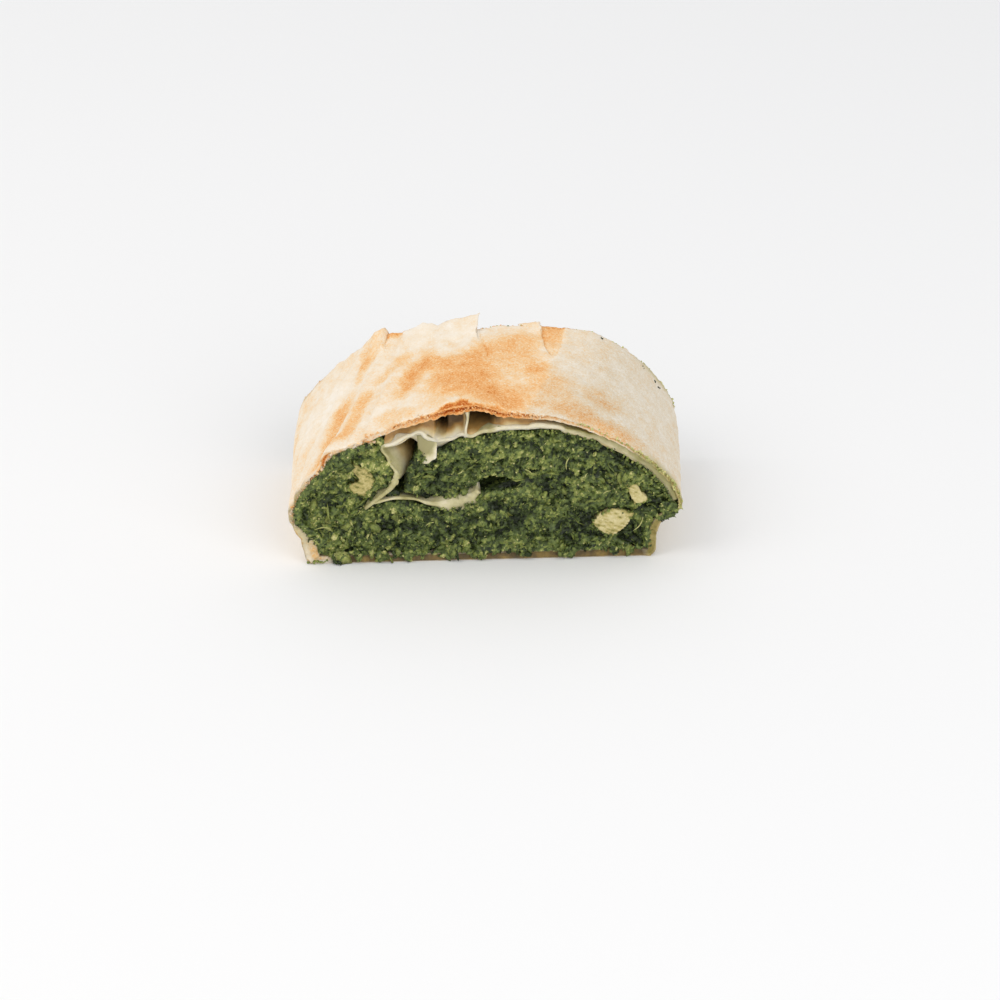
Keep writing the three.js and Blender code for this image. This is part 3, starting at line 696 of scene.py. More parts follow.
# A sheet along a line in the plane of the cut: the line at the cut, the line inside, its thickness along it,
# how far it stays behind the cut, and a sideways slant behind the cut
def sheetOf(edgeLine, insideLine, thickness, recess, slant, seed):
    depths = np.array(layers["depths"])
    rows = np.concatenate([depths - halfDepth, halfDepth - depths[::-1][1:]])
    count = len(edgeLine)
    along = np.concatenate([[0], np.cumsum(np.linalg.norm(np.diff(insideLine, axis=0), axis=1))])
    tops, bottoms = [], []
    for row in rows:
        depth = behindCut(row)
        blend = smooth(depth, 0, layers["blend"])
        line = edgeLine * (1 - blend) + insideLine * blend
        wave = layers["edgeWave"] * (1 - smooth(depth, 0, 6)) * (1 - 0.7 * smooth(edgeLine[:, 0], 30, 40))
        x = line[:, 0] + slant * smooth(depth, 0, layers["slantDepth"]) + wave * waver(along, 2.4, seed + 1)
        z = line[:, 1] + wave * waver(along, 3, seed)
        direction = np.gradient(np.column_stack([x, z]), axis=0)
        direction /= np.linalg.norm(direction, axis=1)[:, None] + 1e-9
        normal = np.column_stack([-direction[:, 1], direction[:, 0]])
        inset = recess * (1 - smooth(depth, 0, 4))
        y = row + (inset if row < 0 else -inset)
        for store, side in ((tops, 0.5), (bottoms, -0.5)):
            px = x + normal[:, 0] * thickness * side
            pz = z + normal[:, 1] * thickness * side
            px, pz = wavered(px, y, pz)
            store.append(np.column_stack([px, y, risen(px, y, pz)]))
    tops, bottoms = np.array(tops), np.array(bottoms)
    around = np.concatenate([tops, bottoms[:, ::-1]], axis=1)
    points = [around.reshape(-1, 3)]
    faces = [gridFaces(len(rows), 2 * count, 0, around=True)]
    start = len(rows) * 2 * count
    # the edge at each cut is rounded: a line of points before it, joined to both faces
    for row, side in ((0, -1), (len(rows) - 1, 1)):
        middle = (tops[row] + bottoms[row]) / 2
        middle[:, 1] += side * 0.35 * np.minimum(thickness, 0.9)
        upperEdge = row * 2 * count + np.arange(count)
        lowerEdge = row * 2 * count + 2 * count - 1 - np.arange(count)
        middleEdge = start + np.arange(count)
        faces += [facesOf([upperEdge, middleEdge]), facesOf([middleEdge, lowerEdge])]
        ends = [[upperEdge[0], middleEdge[0], lowerEdge[0]], [upperEdge[-1], lowerEdge[-1], middleEdge[-1]]]
        faces.append(np.array([[a, b, c, c] for a, b, c in ends]))
        points.append(middle)
        start += count
    return np.vstack(points), np.vstack(faces)


def withoutRepeats(faces):
    return [[v for k, v in enumerate(face) if v not in face[:k]] for face in faces.tolist()]


def joined(parts):
    points, faces, start = [], [], 0
    for partPoints, partFaces in parts:
        points.append(partPoints)
        faces.append(np.asarray(partFaces) + start)
        start += len(partPoints)
    return np.vstack(points), np.vstack(faces)


# Dough that closes the air gap under the crown: it hangs from the crust a few millimetres behind the cut
# and reaches forward to the upper layer, with deep bubbles between thin walls
curtain = {
    "columns": 280, "rows": 16, "thickness": 0.4, "recess": 0.6, "left": -28.4, "right": 51.6,
    # place across, how far behind the cut it meets the crust
    "depth": [(-28.6, 2), (-26, 3.5), (-14.6, 4.5), (-13.6, 9), (-12.8, 12), (-11.6, 12), (-11, 7),
              (-6.5, 6.5), (-5.9, 6), (-5.2, 9), (-3.8, 12), (0.4, 11), (2.6, 5), (4.6, 2.6), (14, 2.4),
              (17, 4), (19, 6.5), (23, 6), (27, 2.5), (34, 1.4), (52, 1)],
    # place across, toasting at its lower and upper edge; the dark values in the deep pockets and up towards
    # the crust are painted shade
    "toast": [(-28.6, 0.26, 0.6), (-20, 0.24, 0.66), (-14.6, 0.2, 0.66), (-13.4, 0.1, 1), (-11.8, 0.1, 1),
              (-11, 0.14, 0.86), (-6.8, 0.12, 0.84), (-6.2, 0.06, 0.3), (-5.4, 0.48, 1), (0.6, 0.46, 1),
              (4, 0.12, 0.66), (14, 0.1, 0.64), (17, 0.4, 0.72), (22, 0.36, 0.7), (26, 0.34, 0.58),
              (34, 0.4, 0.56), (42, 0.46, 0.62), (52, 0.5, 0.66)],
    # left and right end of its upper and lower edge
    "tongue": {"top": [(-19.4, 38.6), (-13.8, 36.9)], "bottom": [(-18.7, 30.6), (-14, 32.6)],
               "columns": 22, "rows": 26, "thickness": 0.75},
}


# Two matching grids, front and back, closed along their rim
def closedSheet(front, back):
    rows, count = front.shape[:2]
    total = rows * count
    index = np.arange(total).reshape(rows, count)
    rim = np.concatenate([index[0], index[1:, -1], index[-1, -2::-1], index[-2:0:-1, 0]])
    sides = facesOf([rim, rim + total], around=True)
    faces = np.vstack([gridFaces(rows, count), gridFaces(rows, count, total), sides])
    return np.vstack([front.reshape(-1, 3), back.reshape(-1, 3)]), faces


# A thin sheet that faces a cut: its place across and up, and how far it lies behind the cut
def hungSheet(x, z, back, thickness, side):
    sheets = []
    for extra in (0, thickness):
        y = side * (halfDepth - back - extra)
        sheets.append(np.stack([x, y, risen(x, y, z)], axis=-1))
    return closedSheet(*sheets)


# Height of the upper layer's line from the fold to its right end
def layerHeight(across, line):
    points = splined(line, layers["columns"])
    upper = points[:layers["foldAt"]][::-1]
    return np.interp(across, upper[:, 0], upper[:, 1])


def makeCurtain(side, seed):
    across = np.linspace(curtain["left"], curtain["right"], curtain["columns"])
    up = np.linspace(0, 1, curtain["rows"])[:, None]
    low = layerHeight(across, layers["upperEdge"]) - 0.3
    high = domeHeight(across, roll["wall"]) + 0.2
    deep = np.interp(across, *np.array(curtain["depth"]).T) * (1 + 0.12 * waver(across, 3, seed))
    x = across + 0.35 * uneven(across + 0 * up, up * 6 + 0 * across, 4, 2, seed + 1)
    z = low + (high - low) * up ** 1.15
    pocket = smooth(deep, 6, 10)
    share = up ** 0.8 * (1 - pocket) + smooth(up, 0.1, 0.42) * pocket
    back = curtain["recess"] + (deep - curtain["recess"]) * share
    back = back + 0.3 * uneven(across + 0 * up, up * 8 + 0 * across, 2.2, 2.2, seed + 2)
    places, lowToastAndShade, highToastAndShade = np.array(curtain["toast"]).T
    lowToastAndShade, highToastAndShade = np.interp(across, places, lowToastAndShade), np.interp(across, places, highToastAndShade)
    # painted shade: the sheet darkens from its lower edge up towards the crust, and to dark brown in the deep
    # pockets
    rise = smooth(up + 0.12 * uneven(x, z, 2, 2, seed + 3), 0.04, 0.52)
    toast = (lowToastAndShade + (highToastAndShade - lowToastAndShade) * rise).ravel()
    return hungSheet(x, z, back, curtain["thickness"], side), np.concatenate([toast, toast])


# The tongue of dough that hangs from the arch into the pocket, bowed forward, with a ragged lower edge
def makeTongue(side, seed):
    tongue = curtain["tongue"]
    part = np.linspace(0, 1, tongue["columns"])[None, :]
    down = np.linspace(0, 1, tongue["rows"])[:, None]
    bow = np.sin(np.pi * part)
    x, z = [(tongue["top"][0][k] * (1 - part) + tongue["top"][1][k] * part) * (1 - down)
            + (tongue["bottom"][0][k] * (1 - part) + tongue["bottom"][1][k] * part) * down for k in (0, 1)]
    rag = 0.5 * waver(part * 5 + 0 * down, 1.2, seed) * smooth(down, 0.6, 1)
    z = z + 1.2 * bow * (1 - down) - 0.9 * bow * down + rag
    back = 0.6 - 0.7 * down - 0.4 * bow * down + 1.4 * (1 - part) ** 2
    back = back + 0.2 * uneven(part * 6 + 0 * down, down * 9 + 0 * part, 1.6, 2.4, seed + 1)
    return hungSheet(x, z, back, tongue["thickness"], side)


def makeUpperLayer():
    inner = splined(layers["upper"], layers["columns"])
    edge = splined(layers["upperEdge"], layers["columns"])
    across = edge[:, 0]
    share = np.linspace(0, 1, layers["columns"])
    along = share * layers["length"]
    # thin on the flap with a thick, lumpy heel at its foot, twice as thick where it lies fused to the crust
    onFlap = smooth(share, 0.74, 0.8)
    heel = smooth(share, 0.84, 0.9) * (1 - smooth(share, 0.93, 0.97))
    fused = smooth(across, 20, 30)
    recess = layers["recess"] * (0.9 + 0.5 * waver(along, 5, 51)) * (1 - 0.7 * onFlap) * (1 - 0.6 * fused)
    thickness = layers["thickness"] * (1 + 0.35 * waver(along, 3, 52)) * (1 - 0.3 * onFlap)
    thickness = thickness * (1 + heel * (0.9 + 0.7 * waver(along, 1.1, 58)) + 0.3 * smooth(share, 0.9, 0.95))
    thickness = thickness * (1 + 0.25 * smooth(across, 0, 4) * (1 - smooth(across, 16, 22)))
    thickness = thickness * (1 + 0.9 * fused + 0.45 * fused * waver(along, 2, 56))
    thickness = thickness * (1 + 0.1 * smooth(across, 40, 48))
    sheet = sheetOf(edge, inner, thickness, recess, np.interp(share, *np.array(layers["slant"]).T), 53)
    wall = splined(layers["septum"], layers["septumColumns"])
    wallThickness = 0.6 + 0.5 * np.abs(np.linspace(-1, 1, len(wall))) ** 3
    septum = sheetOf(wall, wall, wallThickness, np.full(len(wall), 0.7), 0, 54)

    # the band on the right is browner along its upper side, toasting with painted shade under the lip, and
    # greener below, a green tinge with painted shade
    rows = 2 * len(layers["depths"]) - 1
    upperSide = np.concatenate([np.tile(np.repeat([1, 0], len(edge)), rows), np.full(2 * len(edge), 0.5)])
    sheetX, sheetZ = sheet[0][:, 0], sheet[0][:, 2]
    onBand = smooth(sheetX, 18, 26) * (1 - 0.75 * smooth(sheetX, 36, 46))
    band = onBand * (0.32 * upperSide - 0.04 + 0.12 * uneven(sheetX, sheetZ, 2.2, 2.2, 57))
    parts = [sheet, septum]
    toast = [band, np.zeros(len(septum[0]))]
    tingeAndShade = [np.zeros(len(part[0])) for part in parts]
    for side, seed in ((-1, 60), (1, 64)):
        hung, tone = makeCurtain(side, seed)
        tongue = makeTongue(side, seed + 100)
        tongueX, tongueZ = tongue[0][:, 0], tongue[0][:, 2]
        # painted shade: the tongue's upper left is tinged olive and a little browner, and its right side is
        # kept paler
        shaded = smooth(tongueZ - 0.8 * (tongueX + 16.5), 31.5, 36.5)
        parts += [hung, tongue]
        toast += [tone, 0.02 + 0.04 * shaded]
        tingeAndShade += [0 * tone, 0.14 + 0.75 * shaded - 0.3 * smooth(tongueX, -15.2, -14.2)]
    points, faces = joined(parts)
    x, y, z = points.T
    inside = behindCut(y)
    lowerSide = np.concatenate([1 - upperSide, np.zeros(len(points) - len(upperSide))])
    tinge = 0.3 + 0.4 * smooth(-x, 18, 27) * (z < 36.5) + np.concatenate(tingeAndShade)
    tinge = tinge + 0.3 * smooth(x, -5.6, -5) * (1 - smooth(x, 1, 3))
    tinge = tinge + 0.25 * smooth(inside, 1, 7)
    tinge = tinge + smooth(x, 18, 26) * (0.48 + 0.25 * lowerSide + 0.2 * smooth(x, 41, 47))
    # painted shade: the flap is browned further behind the cut, towards the dark pocket behind it
    flapShade = 0.5 * smooth(-x, 17, 21) * (z < 36.5) * smooth(inside, 1.5, 8)
    toast = np.clip(np.concatenate(toast) + flapShade, 0, 1)
    addPiece("innerLayerUpper", points, withoutRepeats(faces), doughSteamed,
             ["pastry_layer_upper"], {"tinge": tinge, "toast": toast})


def makeMiddleLayer():
    line = splined(layers["middle"], layers["middleColumns"])
    share = np.linspace(0, 1, layers["middleColumns"])
    along = share * layers["middleLength"]
    thickness = layers["thickness"] * (0.7 + 2.7 * smooth(share, 0.4, 0.66))
    thickness = thickness * (1 - 0.5 * smooth(share, 0.84, 1)) * (1 + 0.3 * waver(along, 2, 73))
    recess = 0.5 + 0.25 * waver(along, 3, 71)
    raised = line + np.column_stack([0 * share, 1.6 * smooth(share, 0.4, 0.62)])
    points, faces = sheetOf(line, raised, thickness, recess, 0, 72)
    freeEnd = smooth(points[:, 0], -18, -12)
    tinge = 0.62 - 0.07 * freeEnd + 0.2 * uneven(points[:, 0], points[:, 1], 3, 2, 74)
    addPiece("innerLayerMiddle", points, withoutRepeats(faces), doughSteamed,
             ["pastry_layer_middle"], {"tinge": tinge, "toast": 0.05 * freeEnd})


makeUpperLayer()
makeMiddleLayer()

# Filling: crumbs of chopped spinach packed on both cuts and on the walls of the pockets
mash = {
    "slab": 7, "recess": 2.1, "voxel": 0.34, "density": 2.2, "smallest": 0.26, "largest": 0.9,
    "leafShare": 0.14, "leafSize": [(0.9, 1.7), (0.7, 1.2), (0.25, 0.35)], "paleShare": 0.016,
    "ruffle": 0.18, "ruffleSize": 0.7, "faceDepth": 2.2, "overlap": 0.9, "coreShadeTint": 0.25,
    # how far crumbs stand out, from 0 to 1 of the recess: all, by clump, at random
    "stand": 0.66, "standClump": 0.85, "standSpread": 0.16, "propSize": (0.7, 1.1), "spillSize": (0.35, 0.7),
    # tints: 0 is the darkest green, 1 the palest; crumbs set back from the cut are darkened as painted shade
    "tint": 0.44, "tintSpread": 0.15, "clumpTint": 0.24, "leafTint": 0.6, "paleTint": (0.7, 0.95),
    "leftLighter": 0.13, "topLighter": 0.16, "spillSpread": 0.18, "sunkShade": 0.32,
    # a spot shows where nothing stands in one of these directions
    "looks": [(0, -1, 0), (0.35, -1, 0.35), (-0.35, -1, 0.35), (0, -1, 0.8), (0, -1, -0.4)],
    # crumbs that spill: across the lower edge, up the lip and up the wall on the right, as from, to and step
    "edgeRun": (-43, 44, 0.35), "lipRun": (11.2, 17, 0.22), "wallRun": (2.6, 11, 0.16), "wallAt": 45.4,
    # how far the crumbs lie over the side wall on the right: height, distance from the middle
    "rightEdge": [(11.2, 49), (12.4, 52.6), (14, 53.6), (17, 53.2)],
    # how much of the crust's cut edge stays bare on the left: distance along the outline, share of the wall
    "bare": [(-84, 1.05), (-66, 0.95), (-57, 0.9), (-44, 0.95), (-36, 1.1)], "cover": 950,
    "clump": (5.5, 4, 3.2), "fineClump": 1.9,
    # pockets that stay open: middle across and up, half width, half height
    "holes": [(2.8, 23.7, 6.4, 2.6), (12.3, 40.1, 4.2, 1)],
    # clumps that hang over the lower edge: place across, half width, lowest point
    "hanging": [(-42, 2.2, 0.6), (-35.9, 0.9, 0.7), (-30, 1.5, 0.6), (-22, 1.2, 0.6), (-9.5, 1, 1.1),
                (-1.4, 1.4, 0.6), (10.5, 0.8, 1.2), (22.6, 2.8, 0.6), (36, 0.9, 1.2)],
}
# Paler bits that stand out at the front cut: across, up, size and how pale
paleBits = [
    (-42.9, 8.2, 1.5, 0.95), (-27.6, 31.2, 1.5, 0.95), (-26, 16.6, 1.2, 0.9), (-20, 23, 0.9, 0.8),
    (2.5, 32.4, 1.3, 0.8), (29.8, 32.6, 0.8, 0.85), (-38.5, 29, 1.3, 0.75), (-33, 22, 1.4, 0.7),
    (-24, 22.4, 1, 0.7), (8, 36, 0.8, 0.8), (-50, 9, 1, 0.7), (-6, 5, 1.2, 0.75), (25, 27, 1, 0.7),
    (33, 22, 1.1, 0.7), (-14, 30, 0.9, 0.7), (16, 20, 0.9, 0.7),
]


# Points and faces of a bmesh, which is let go
def arraysOf(built):
    built.verts.index_update()
    points = np.array([v.co for v in built.verts])
    faces = [[v.index for v in face.verts] for face in built.faces]
    built.free()
    return points, faces


# A round crumb, an angular bit and a thin, bent scrap of leaf, each about one unit in radius
def ballShape():
    built = bmesh.new()
    bmesh.ops.create_icosphere(built, subdivisions=1, radius=1)
    points, faces = arraysOf(built)
    return points, np.array(faces)


def bitShape():
    points = np.array([(1, 0, 0), (-1, 0, 0), (0, 1, 0), (0, -1, 0), (0, 0, 1), (0, 0, -1)], float)
    upper = [(0, 2, 4), (2, 1, 4), (1, 3, 4), (3, 0, 4)]
    lower = [(2, 0, 5), (1, 2, 5), (3, 1, 5), (0, 3, 5)]
    return points, np.array(upper + lower)


def scrapShape(corners=8, thickness=0.16, bend=0.6):
    turn = np.linspace(0, 2 * np.pi, corners, endpoint=False)
    rim = np.column_stack([np.cos(turn), np.sin(turn), bend * np.cos(turn) ** 2])
    upper = [(k, (k + 1) % corners, corners) for k in range(corners)]
    lower = [((k + 1) % corners, k, corners + 1) for k in range(corners)]
    return np.vstack([rim, [(0, 0, thickness), (0, 0, -thickness)]]), np.array(upper + lower)


ball, bit, scrap = ballShape(), bitShape(), scrapShape()
leafBits = {"count": 9000, "long": (0.22, 0.5), "wide": (0.18, 0.38), "thin": (0.1, 0.22), "proud": 0.1}
scraps = {
    "count": 420, "long": (0.9, 2), "wide": (0.6, 1.3), "bend": (0.3, 0.8), "proud": 0.15,
    "darkShare": 0.4, "dark": 0.14, "light": 0.52, "leftLighter": 0.14,
    "broad": 44, "broader": (1.7, 1.5, 1.2), "broadTint": (0.5, 0.78),
}
bitClouds, scrapClouds = [], []


# Lumps of the given sizes at the given places, each turned its own way
def crumbCloud(places, sizes, dice, shape):
    shapePoints, shapeFaces = shape
    count = len(places)
    turns = dice.normal(size=(count, 4))
    turns /= np.linalg.norm(turns, axis=1)[:, None]
    w, x, y, z = turns.T
    spin = np.stack([
        1 - 2 * (y * y + z * z), 2 * (x * y - w * z), 2 * (x * z + w * y),
        2 * (x * y + w * z), 1 - 2 * (x * x + z * z), 2 * (y * z - w * x),
        2 * (x * z - w * y), 2 * (y * z + w * x), 1 - 2 * (x * x + y * y)], axis=-1).reshape(count, 3, 3)
    dents = 1 + 0.2 * dice.normal(size=(count, len(shapePoints), 1))
    shaped = shapePoints[None] * dents * sizes[:, None, :]
    points = np.einsum("nij,nkj->nki", spin, shaped) + places[:, None, :]
    faces = shapeFaces[None] + (np.arange(count) * len(shapePoints))[:, None, None]
    return points.reshape(-1, 3), faces.reshape(-1, 3)


# A CAD node's mesh in millimetres, with the skew of the cuts taken out and turned so that the cut faces -Y
def nodeMesh(name, side):
    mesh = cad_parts[name].data
    points = np.array([v.co for v in mesh.vertices]) / mm
    points[:, 1] -= roll["cutSkew"] * points[:, 0]
    points[:, 1] *= side
    return points, [list(face.vertices) for face in mesh.polygons]


def nodeSolid(name, side):
    points, faces = nodeMesh(name, side)
    built = bmesh.new()
    verts = [built.verts.new(p) for p in points]
    for face in faces:
        built.faces.new([verts[v] for v in face])
    bmesh.ops.remove_doubles(built, verts=built.verts, dist=1e-4)
    return built


def closeCut(built):
    rim = [edge for edge in built.edges if edge.is_boundary]
    bmesh.ops.triangle_fill(built, use_beauty=True, use_dissolve=False, edges=rim)


# Takes away what lies past the limit along the depth
def cutAway(built, limit, side):
    bmesh.ops.bisect_plane(built, geom=built.verts[:] + built.edges[:] + built.faces[:],
                           plane_co=(0, limit, 0), plane_no=(0, side, 0), clear_outer=True)
    closeCut(built)


# The first millimetres of the filling behind a cut, set back to leave room for the crumbs
def fillingSlab(side):
    built = nodeSolid("filling", side)
    cutAway(built, mash["slab"] - halfDepth, 1)
    bmesh.ops.recalc_face_normals(built, faces=built.faces)
    for vert in built.verts:
        if vert.co.y < mash["faceDepth"] - halfDepth:
            vert.co.y += mash["recess"]
    bmesh.ops.triangulate(built, faces=built.faces)
    return arraysOf(built)


# Drops the bits that touch nothing
def largestPart(points, faces):
    edges = np.array([(a, b) for face in faces for a, b in zip(face, face[1:] + face[:1])])
    label = np.arange(len(points))
    while True:
        low = np.minimum(label[edges[:, 0]], label[edges[:, 1]])
        after = label.copy()
        np.minimum.at(after, edges[:, 0], low)
        np.minimum.at(after, edges[:, 1], low)
        after = after[after]
        if (after == label).all():
            break
        label = after
    keep = label == np.bincount(label).argmax()
    number = np.cumsum(keep) - 1
    return points[keep], [[number[v] for v in face] for face in faces if keep[face[0]]]


# Normals and areas of triangles, from their corners
def facets(corners):
    cross = np.cross(corners[:, 1] - corners[:, 0], corners[:, 2] - corners[:, 0])
    size = np.linalg.norm(cross, axis=1)
    return cross / (size[:, None] + 1e-12), size / 2


# Fuses what overlaps into one skin
def remeshed(points, faces, voxel):
    mesh = bpy.data.meshes.new("raw")
    mesh.from_pydata(points.tolist(), [], faces)
    raw = bpy.data.objects.new("raw", mesh)
    scene.collection.objects.link(raw)
    remesh = raw.modifiers.new("remesh", "REMESH")
    remesh.mode = "VOXEL"
    remesh.voxel_size = voxel
    built = bmesh.new()
    built.from_mesh(raw.evaluated_get(bpy.context.evaluated_depsgraph_get()).to_mesh())
    raw.to_mesh_clear()
    bpy.data.objects.remove(raw)
    return built


# Spots on the slab that can be seen past its own edges and past the other pieces
def shownSpots(slab, side, dice):
    points, faces = slab
    others = [nodeMesh(node, side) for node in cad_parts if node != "filling"]
    blockers = BVHTree.FromPolygons(*[values.tolist() for values in joined([slab] + others)])
    corners = points[np.array(faces)]
    normals, area = facets(corners)
    area[corners[:, :, 1].min(axis=1) > mash["slab"] - halfDepth - 0.5] = 0
    tries = dice.choice(len(area), size=int(area.sum() * mash["density"]), p=area / area.sum())
    mix = dice.random((len(tries), 2))
    mix[mix.sum(axis=1) > 1] = 1 - mix[mix.sum(axis=1) > 1]
    a, b, c = corners[tries, 0], corners[tries, 1], corners[tries, 2]
    spots = a + (b - a) * mix[:, :1] + (c - a) * mix[:, 1:]
    outward = normals[tries]
    looks = [Vector(look).normalized() for look in mash["looks"]]
    kept = []
    for k, (spot, out) in enumerate(zip(spots, outward)):
        start = Vector(spot + out * 0.3)
        if any(blockers.ray_cast(start, look, 60)[0] is None for look in looks):
            kept.append(k)
    return spots[kept], outward[kept]


# Crumbs packed on the slab, in clumps that stand out and lie back. Gives places, sizes and tints.
def packedCrumbs(slab, side, dice, seed):
    spots, outward = shownSpots(slab, side, dice)
    count = len(spots)
    facing = outward[:, 1] < -0.5
    clump = 0.6 * unevenness(spots / np.array(mash["clump"]), seed)
    clump = clump + 0.4 * unevenness(spots / mash["fineClump"], seed + 1)
    size = mash["smallest"] + (mash["largest"] - mash["smallest"]) * dice.beta(1.3, 2, count)
    sizes = size[:, None] * np.exp(dice.normal(0, 0.28, (count, 3)))
    leaf = dice.random(count) < mash["leafShare"]
    sizes[leaf] = np.column_stack([dice.uniform(*reach, leaf.sum()) for reach in mash["leafSize"]])
    standing = mash["stand"] + mash["standClump"] * clump + mash["standSpread"] * dice.normal(size=count)
    height = np.clip(standing, 0.02, 1) * mash["recess"]
    height[~facing] = 0
    sizes[~facing] *= 0.6
    places = spots + outward * (height - 0.5 * size)[:, None]
    lighter = mash["leftLighter"] * smooth(-spots[:, 0], 22, 40)
    lighter = lighter + mash["topLighter"] * smooth(spots[:, 2], 26, 40)
    spread = mash["tintSpread"] * dice.normal(size=count)
    tint = np.clip(mash["tint"] + lighter + spread + mash["clumpTint"] * clump, 0.02, 0.85)
    tint[leaf] *= mash["leafTint"]
    upperLeft = smooth(-spots[:, 0], 24, 34) * smooth(spots[:, 2], 18, 26)
    tint = tint + upperLeft * (0.07 + 0.2 * (dice.random(count) < 0.36))
    pale = dice.random(count) < mash["paleShare"]
    tint[pale] = dice.uniform(*mash["paleTint"], pale.sum())
    sizes[pale] *= 0.75
    # crumbs that stand out get another one under them
    propped = height > 0.9
    props = spots[propped] + outward[propped] * (0.35 * height[propped])[:, None]
    sizes = np.vstack([sizes, dice.uniform(*mash["propSize"], (len(props), 3))])
    tint = np.concatenate([tint, np.clip(tint[propped] - 0.1, 0.02, 0.6)])
    return np.vstack([places, props]), sizes, tint


# Crumbs that spill over the lower edge and over the side walls below the lip
def spiltCrumbs(side, dice, seed):
    front = -halfDepth
    spill = []
    for across in np.arange(*mash["edgeRun"]):
        wave = waver(np.array([across]), 3.4, seed + 2)[0] - 0.25 * smooth(across, -10, 10)
        low = 2.6 - 1.9 * smooth(wave, 0, 0.5)
        spill.append((across + dice.uniform(-0.3, 0.3), front + dice.uniform(-0.4, 0.5),
                      dice.uniform(low, 3.4)))
    for up in np.arange(*mash["lipRun"]):
        edge = np.interp(up, *np.array(mash["rightEdge"]).T)
        for k in range(3):
            spill.append((edge - dice.uniform(0.2, 4.6), front + dice.uniform(-0.4, 0.5),
                          up + dice.uniform(-0.3, 0.3)))
    for up in np.arange(*mash["wallRun"]):
        spill.append((mash["wallAt"] + dice.uniform(-1.2, 0.5), front + dice.uniform(-0.3, 0.6), up))
    for across, wide, low in mash["hanging"]:
        for k in range(int(26 * wide)):
            up = dice.uniform(low, 3.4)
            reach = wide * (0.45 + 0.55 * smooth(up, low, 2.6))
            spill.append((across + dice.uniform(-reach, reach), front + dice.uniform(-0.7, 0.1), up))
    outer, inner = cutEdges[0 if side > 0 else 1]
    pick = dice.choice(np.flatnonzero((arcLine < -36) & ~isFloor & (outerLine[:, 1] > 2)), mash["cover"])
    part = np.interp(arcLine[pick], *np.array(mash["bare"]).T)
    reach = 1.7 + 1.4 * (side > 0) * np.exp(-((arcLine[pick] + 49) / 8) ** 2)
    part = (part + dice.uniform(0, 1, len(pick)) * (reach - part))[:, None]
    over = outer[pick] * (1 - part) + inner[pick] * part
    over[:, 1] = front + dice.uniform(-0.3, 0.5, len(pick)) + (0.5 if side < 0 else 0)
    places = np.vstack([np.array(spill), over])
    sizes = dice.uniform(*mash["spillSize"], (len(places), 3))
    tint = mash["tint"] + mash["spillSpread"] * dice.normal(size=len(places))
    return places, sizes, np.clip(tint, 0.05, 0.85)


def shownBits():
    across, up, size, tint = np.array(paleBits).T
    places = np.column_stack([across, np.full(len(across), 0.5 - halfDepth), up])
    return places, size[:, None] * np.array([[1.1, 0.7, 0.9]]), tint


# Crumbs that would lie over the soft layer or fill a pocket are left out
def clearOfPockets(places, side):
    x, y, z = places.T
    clear = (x < -28.2) | (x > 30) | (z < risen(x, side * y, layerHeight(x, layers["upperEdge"])) + 0.4)
    for holeX, holeZ, holeWide, holeHigh in mash["holes"]:
        inHole = ((x - holeX) / holeWide) ** 2 + ((z - holeZ) / holeHigh) ** 2 < 1
        clear &= ~(inHole & (y < 5 - halfDepth))
    return clear


# The slab and its crumbs as one closed, ruffled skin
def fusedMash(slab, crumbs, seed):
    points, faces = joined([slab, crumbs])
    built = remeshed(points, faces.tolist(), mash["voxel"])
    for vert in built.verts:
        vert.normal_update()
    spots = np.array([v.co for v in built.verts])
    normals = np.array([v.normal for v in built.verts])
    ruffle = unevenness(spots / mash["ruffleSize"], seed + 3)
    ruffle = ruffle + 0.5 * unevenness(spots / (0.5 * mash["ruffleSize"]), seed + 4)
    for vert, normal, amount in zip(built.verts, normals, ruffle * mash["ruffle"]):
        vert.co += Vector(normal) * amount
    hidden = [v for v in built.verts if v.co.y > mash["slab"] - halfDepth - mash["overlap"]]
    bmesh.ops.delete(built, geom=hidden, context="VERTS")
    closeCut(built)
    return largestPart(*arraysOf(built))


